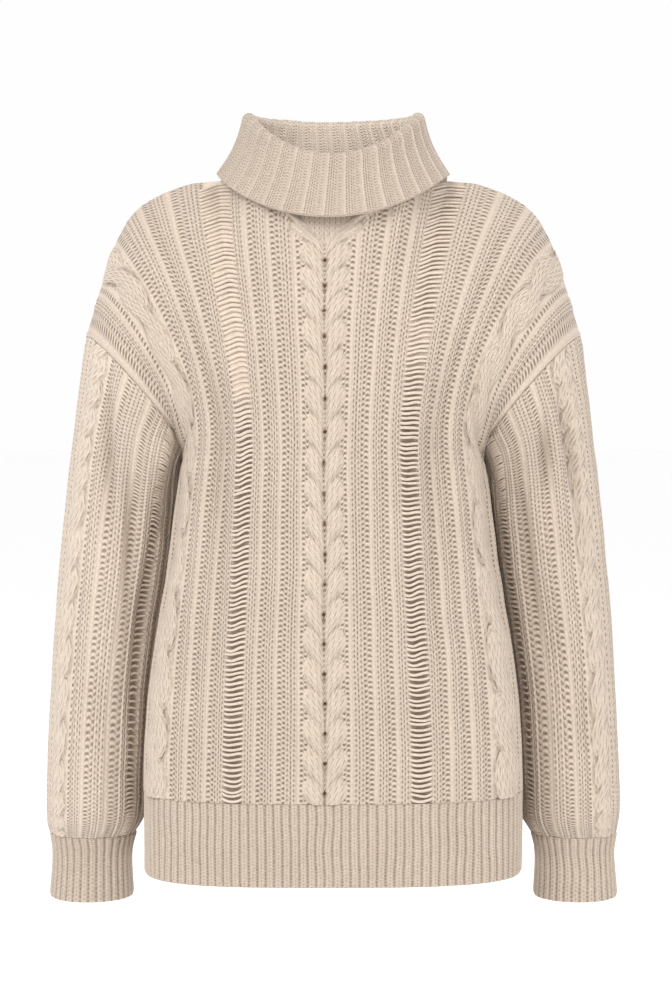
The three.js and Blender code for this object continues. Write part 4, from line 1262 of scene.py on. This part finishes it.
def knit_surface(tree):
    """Wool-like yarn in knit and purl stitches, whose place is read from the stitch map."""
    place = add_node(tree, "TexCoord").outputs["Object"]
    stitch = add_node(tree, "UVMap", uv_map="stitch").outputs[0]
    split = add_node(tree, "SeparateXYZ", {0: stitch})
    across, along = Value(tree, split.outputs[0]), Value(tree, split.outputs[1])

    def look(name):
        return Value(tree, add_node(tree, "Attribute", attribute_name=name).outputs["Fac"])

    def noise_at(scale, detail=2):
        inputs = {"Vector": place, "Scale": scale, "Detail": detail}
        return Value(tree, add_node(tree, "TexNoise", inputs).outputs["Fac"])

    # The stitches lie a little unevenly
    along = along + (noise_at(170) - 0.5) * 0.5
    inside = across.math("FRACT", across)
    away = across.math("ABSOLUTE", inside - 0.5) * 2

    # A knit stitch: two legs that part upwards, with rows of dots between them and beside them
    beside = away**3.4 * mix(dots(along), 0.16, 1)
    between = (1 - away) ** 2.6 * mix(dots(along + 0.5), 0.15, 1)
    climb = dots(along - away * 0.7) ** 4 * 0.3
    legs = 1 - beside - between - climb

    # A purl column: slanting dots that zigzag between its middle and its edges
    zigzag = inside.wave() * (along + away * 0.3).wave()
    dashes = 0.92 - (zigzag * 0.5 + 0.5) ** 1.6

    height = mix(look("calm"), mix(look("knit"), dashes, legs), 0.85)
    fibres = noise_at(1300, 3)
    fluff = noise_at(480)
    relief = height + fibres * 0.3 + fluff * 0.35
    bump = add_node(tree, "Bump", {"Strength": 1, "Distance": BUMP_DEPTH, "Height": relief})

    # Painted shade darkens the yarn down between the stitches, and its dye varies a little
    depth_to_painted_shade = {"Value": height, "From Min": 0.9, "From Max": 0.05}
    depth = add_node(tree, "MapRange", depth_to_painted_shade, interpolation_type="SMOOTHSTEP")
    dye = noise_at(22) * 0.14 + fluff * 0.55 + fibres * 0.5 - 0.56
    # The cloth's shade layer adds its own painted shade, and painted light where it is below zero.
    dark = Value(tree, depth.outputs["Result"]) * 0.85 + dye + look("shade")
    dark = dark.math("MINIMUM", dark.math("MAXIMUM", dark, -0.8), 1.25)
    yarn_and_shade_colours = {0: dark, 6: (*YARN_COLOUR, 1), 7: (*YARN_SHADE, 1)}
    colour = add_node(tree, "Mix", yarn_and_shade_colours, data_type="RGBA", clamp_factor=False)
    return {
        "Base Color": colour.outputs[2], "Normal": bump.outputs[0], "Roughness": 0.92,
        "Specular IOR Level": 0.2, "Sheen Weight": 0.18, "Sheen Roughness": 0.5,
    }


def floor_surface(_tree):
    return {"Base Color": (0.99, 0.99, 0.99, 1), "Roughness": 0.9}


def make_material(name, surface):
    """A material. The surface says what goes into its shader."""
    material = bpy.data.materials.new(name)
    material.use_nodes = True
    tree = material.node_tree
    tree.nodes.clear()
    shader = add_node(tree, "BsdfPrincipled", surface(tree))
    add_node(tree, "OutputMaterial", {0: shader.outputs[0]})
    return material


# The garment

MATERIALS = {slot: make_material(slot + "_yarn", knit_surface) for slot in ("cable_knit", "rib_knit")}


def seat(piece, slot, node=None):
    piece.data.materials.append(MATERIALS[slot])
    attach(piece, "root")
    if node:
        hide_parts(node)
    return piece


front = seat(make_panel("front_knit", "front", 11), "cable_knit", "front_panel")
back = seat(make_panel("back_knit", "back", 31), "cable_knit", "back_panel")
front_rungs = seat(make_rungs("front_ladder_yarn", "front", 5), "cable_knit")
back_rungs = seat(make_rungs("back_ladder_yarn", "back", 6), "cable_knit")
left_rungs = seat(make_sleeve_rungs("sleeve_left_ladder_yarn", 1, 7), "cable_knit")
right_rungs = seat(make_sleeve_rungs("sleeve_right_ladder_yarn", -1, 8), "cable_knit")
sleeve_left = seat(make_sleeve("sleeve_left_knit", 1, 41), "cable_knit", "sleeve_left")
sleeve_right = seat(make_sleeve("sleeve_right_knit", -1, 42), "cable_knit", "sleeve_right")
collar = seat(make_collar("collar_knit", 51), "rib_knit", "collar")
hem_front = seat(make_hem("hem_front_knit", FACES["front"], 61), "rib_knit", "hem_rib_front")
hem_back = seat(make_hem("hem_back_knit", FACES["back"], 62), "rib_knit", "hem_rib_back")
cuff_left = seat(make_cuff("cuff_left_knit", 1, 71), "rib_knit", "cuff_left")
cuff_right = seat(make_cuff("cuff_right_knit", -1, 72), "rib_knit", "cuff_right")

# Floor, lights and camera, in metres

FLOOR_Z = -0.95
FLOOR_HALF = 30
corners = [(x * FLOOR_HALF, y * FLOOR_HALF, FLOOR_Z) for x, y in ((-1, -1), (1, -1), (1, 1), (-1, 1))]
floor_mesh = bpy.data.meshes.new("floor")
floor_mesh.from_pydata(corners, [], [(0, 1, 2, 3)])
floor_mesh.materials.append(make_material("pale_floor", floor_surface))
add_object("floor", floor_mesh)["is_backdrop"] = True


def area_light(name, place, target, size, power):
    light = bpy.data.lights.new(name, "AREA")
    light.shape = "DISK"
    light.size = size
    light.energy = power
    lamp = add_object(name, light)
    lamp.location = place
    direction = Vector(target) - Vector(place)
    lamp.rotation_euler = direction.to_track_quat("-Z", "Y").to_euler()


area_light("key", (-1.4, -2.2, 1.5), (0, 0, -0.25), 1.6, 46)
area_light("fill", (1.8, -2.0, 0.6), (0, 0, -0.3), 1.8, 18)
area_light("behind", (0.9, 2.4, 0.9), (0, 0, -0.3), 1.8, 26)

world = bpy.data.worlds.new("studio")
world.use_nodes = True
backdrop = world.node_tree.nodes["Background"]
backdrop.inputs["Color"].default_value = (0.99, 0.99, 0.99, 1)
backdrop.inputs["Strength"].default_value = 1
bpy.context.scene.world = world
bpy.context.scene.view_settings.view_transform = "Standard"

# The picture is 1008 px high, 0.93 mm a pixel at the garment's middle plane. The camera looks level
# from 2 m away, at the height of the armpits.
FRAME_HEIGHT = 1008
PIXEL = 0.93
CAMERA_DISTANCE = 2.0
CAMERA_Z = -0.2
SENSOR = 36
AXIS_PIXEL = (333.5, 400)
FRAME_MIDDLE = (336, 504)
camera_data = bpy.data.cameras.new("camera")
camera_data.sensor_fit = "VERTICAL"
camera_data.sensor_height = SENSOR
camera_data.lens = SENSOR * CAMERA_DISTANCE * 1000 / (FRAME_HEIGHT * PIXEL)
camera_data.shift_x = (FRAME_MIDDLE[0] - AXIS_PIXEL[0]) / FRAME_HEIGHT
camera_data.shift_y = (AXIS_PIXEL[1] - FRAME_MIDDLE[1]) / FRAME_HEIGHT
camera = add_object("camera", camera_data)
camera.location = (0, -CAMERA_DISTANCE, CAMERA_Z)
camera.rotation_euler = (math.pi / 2, 0, 0)
bpy.context.scene.camera = camera

boxes = {"cad": cad_box, "visual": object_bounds()}
{key: [list(map(float, corner)) for corner in box] for key, box in boxes.items()}
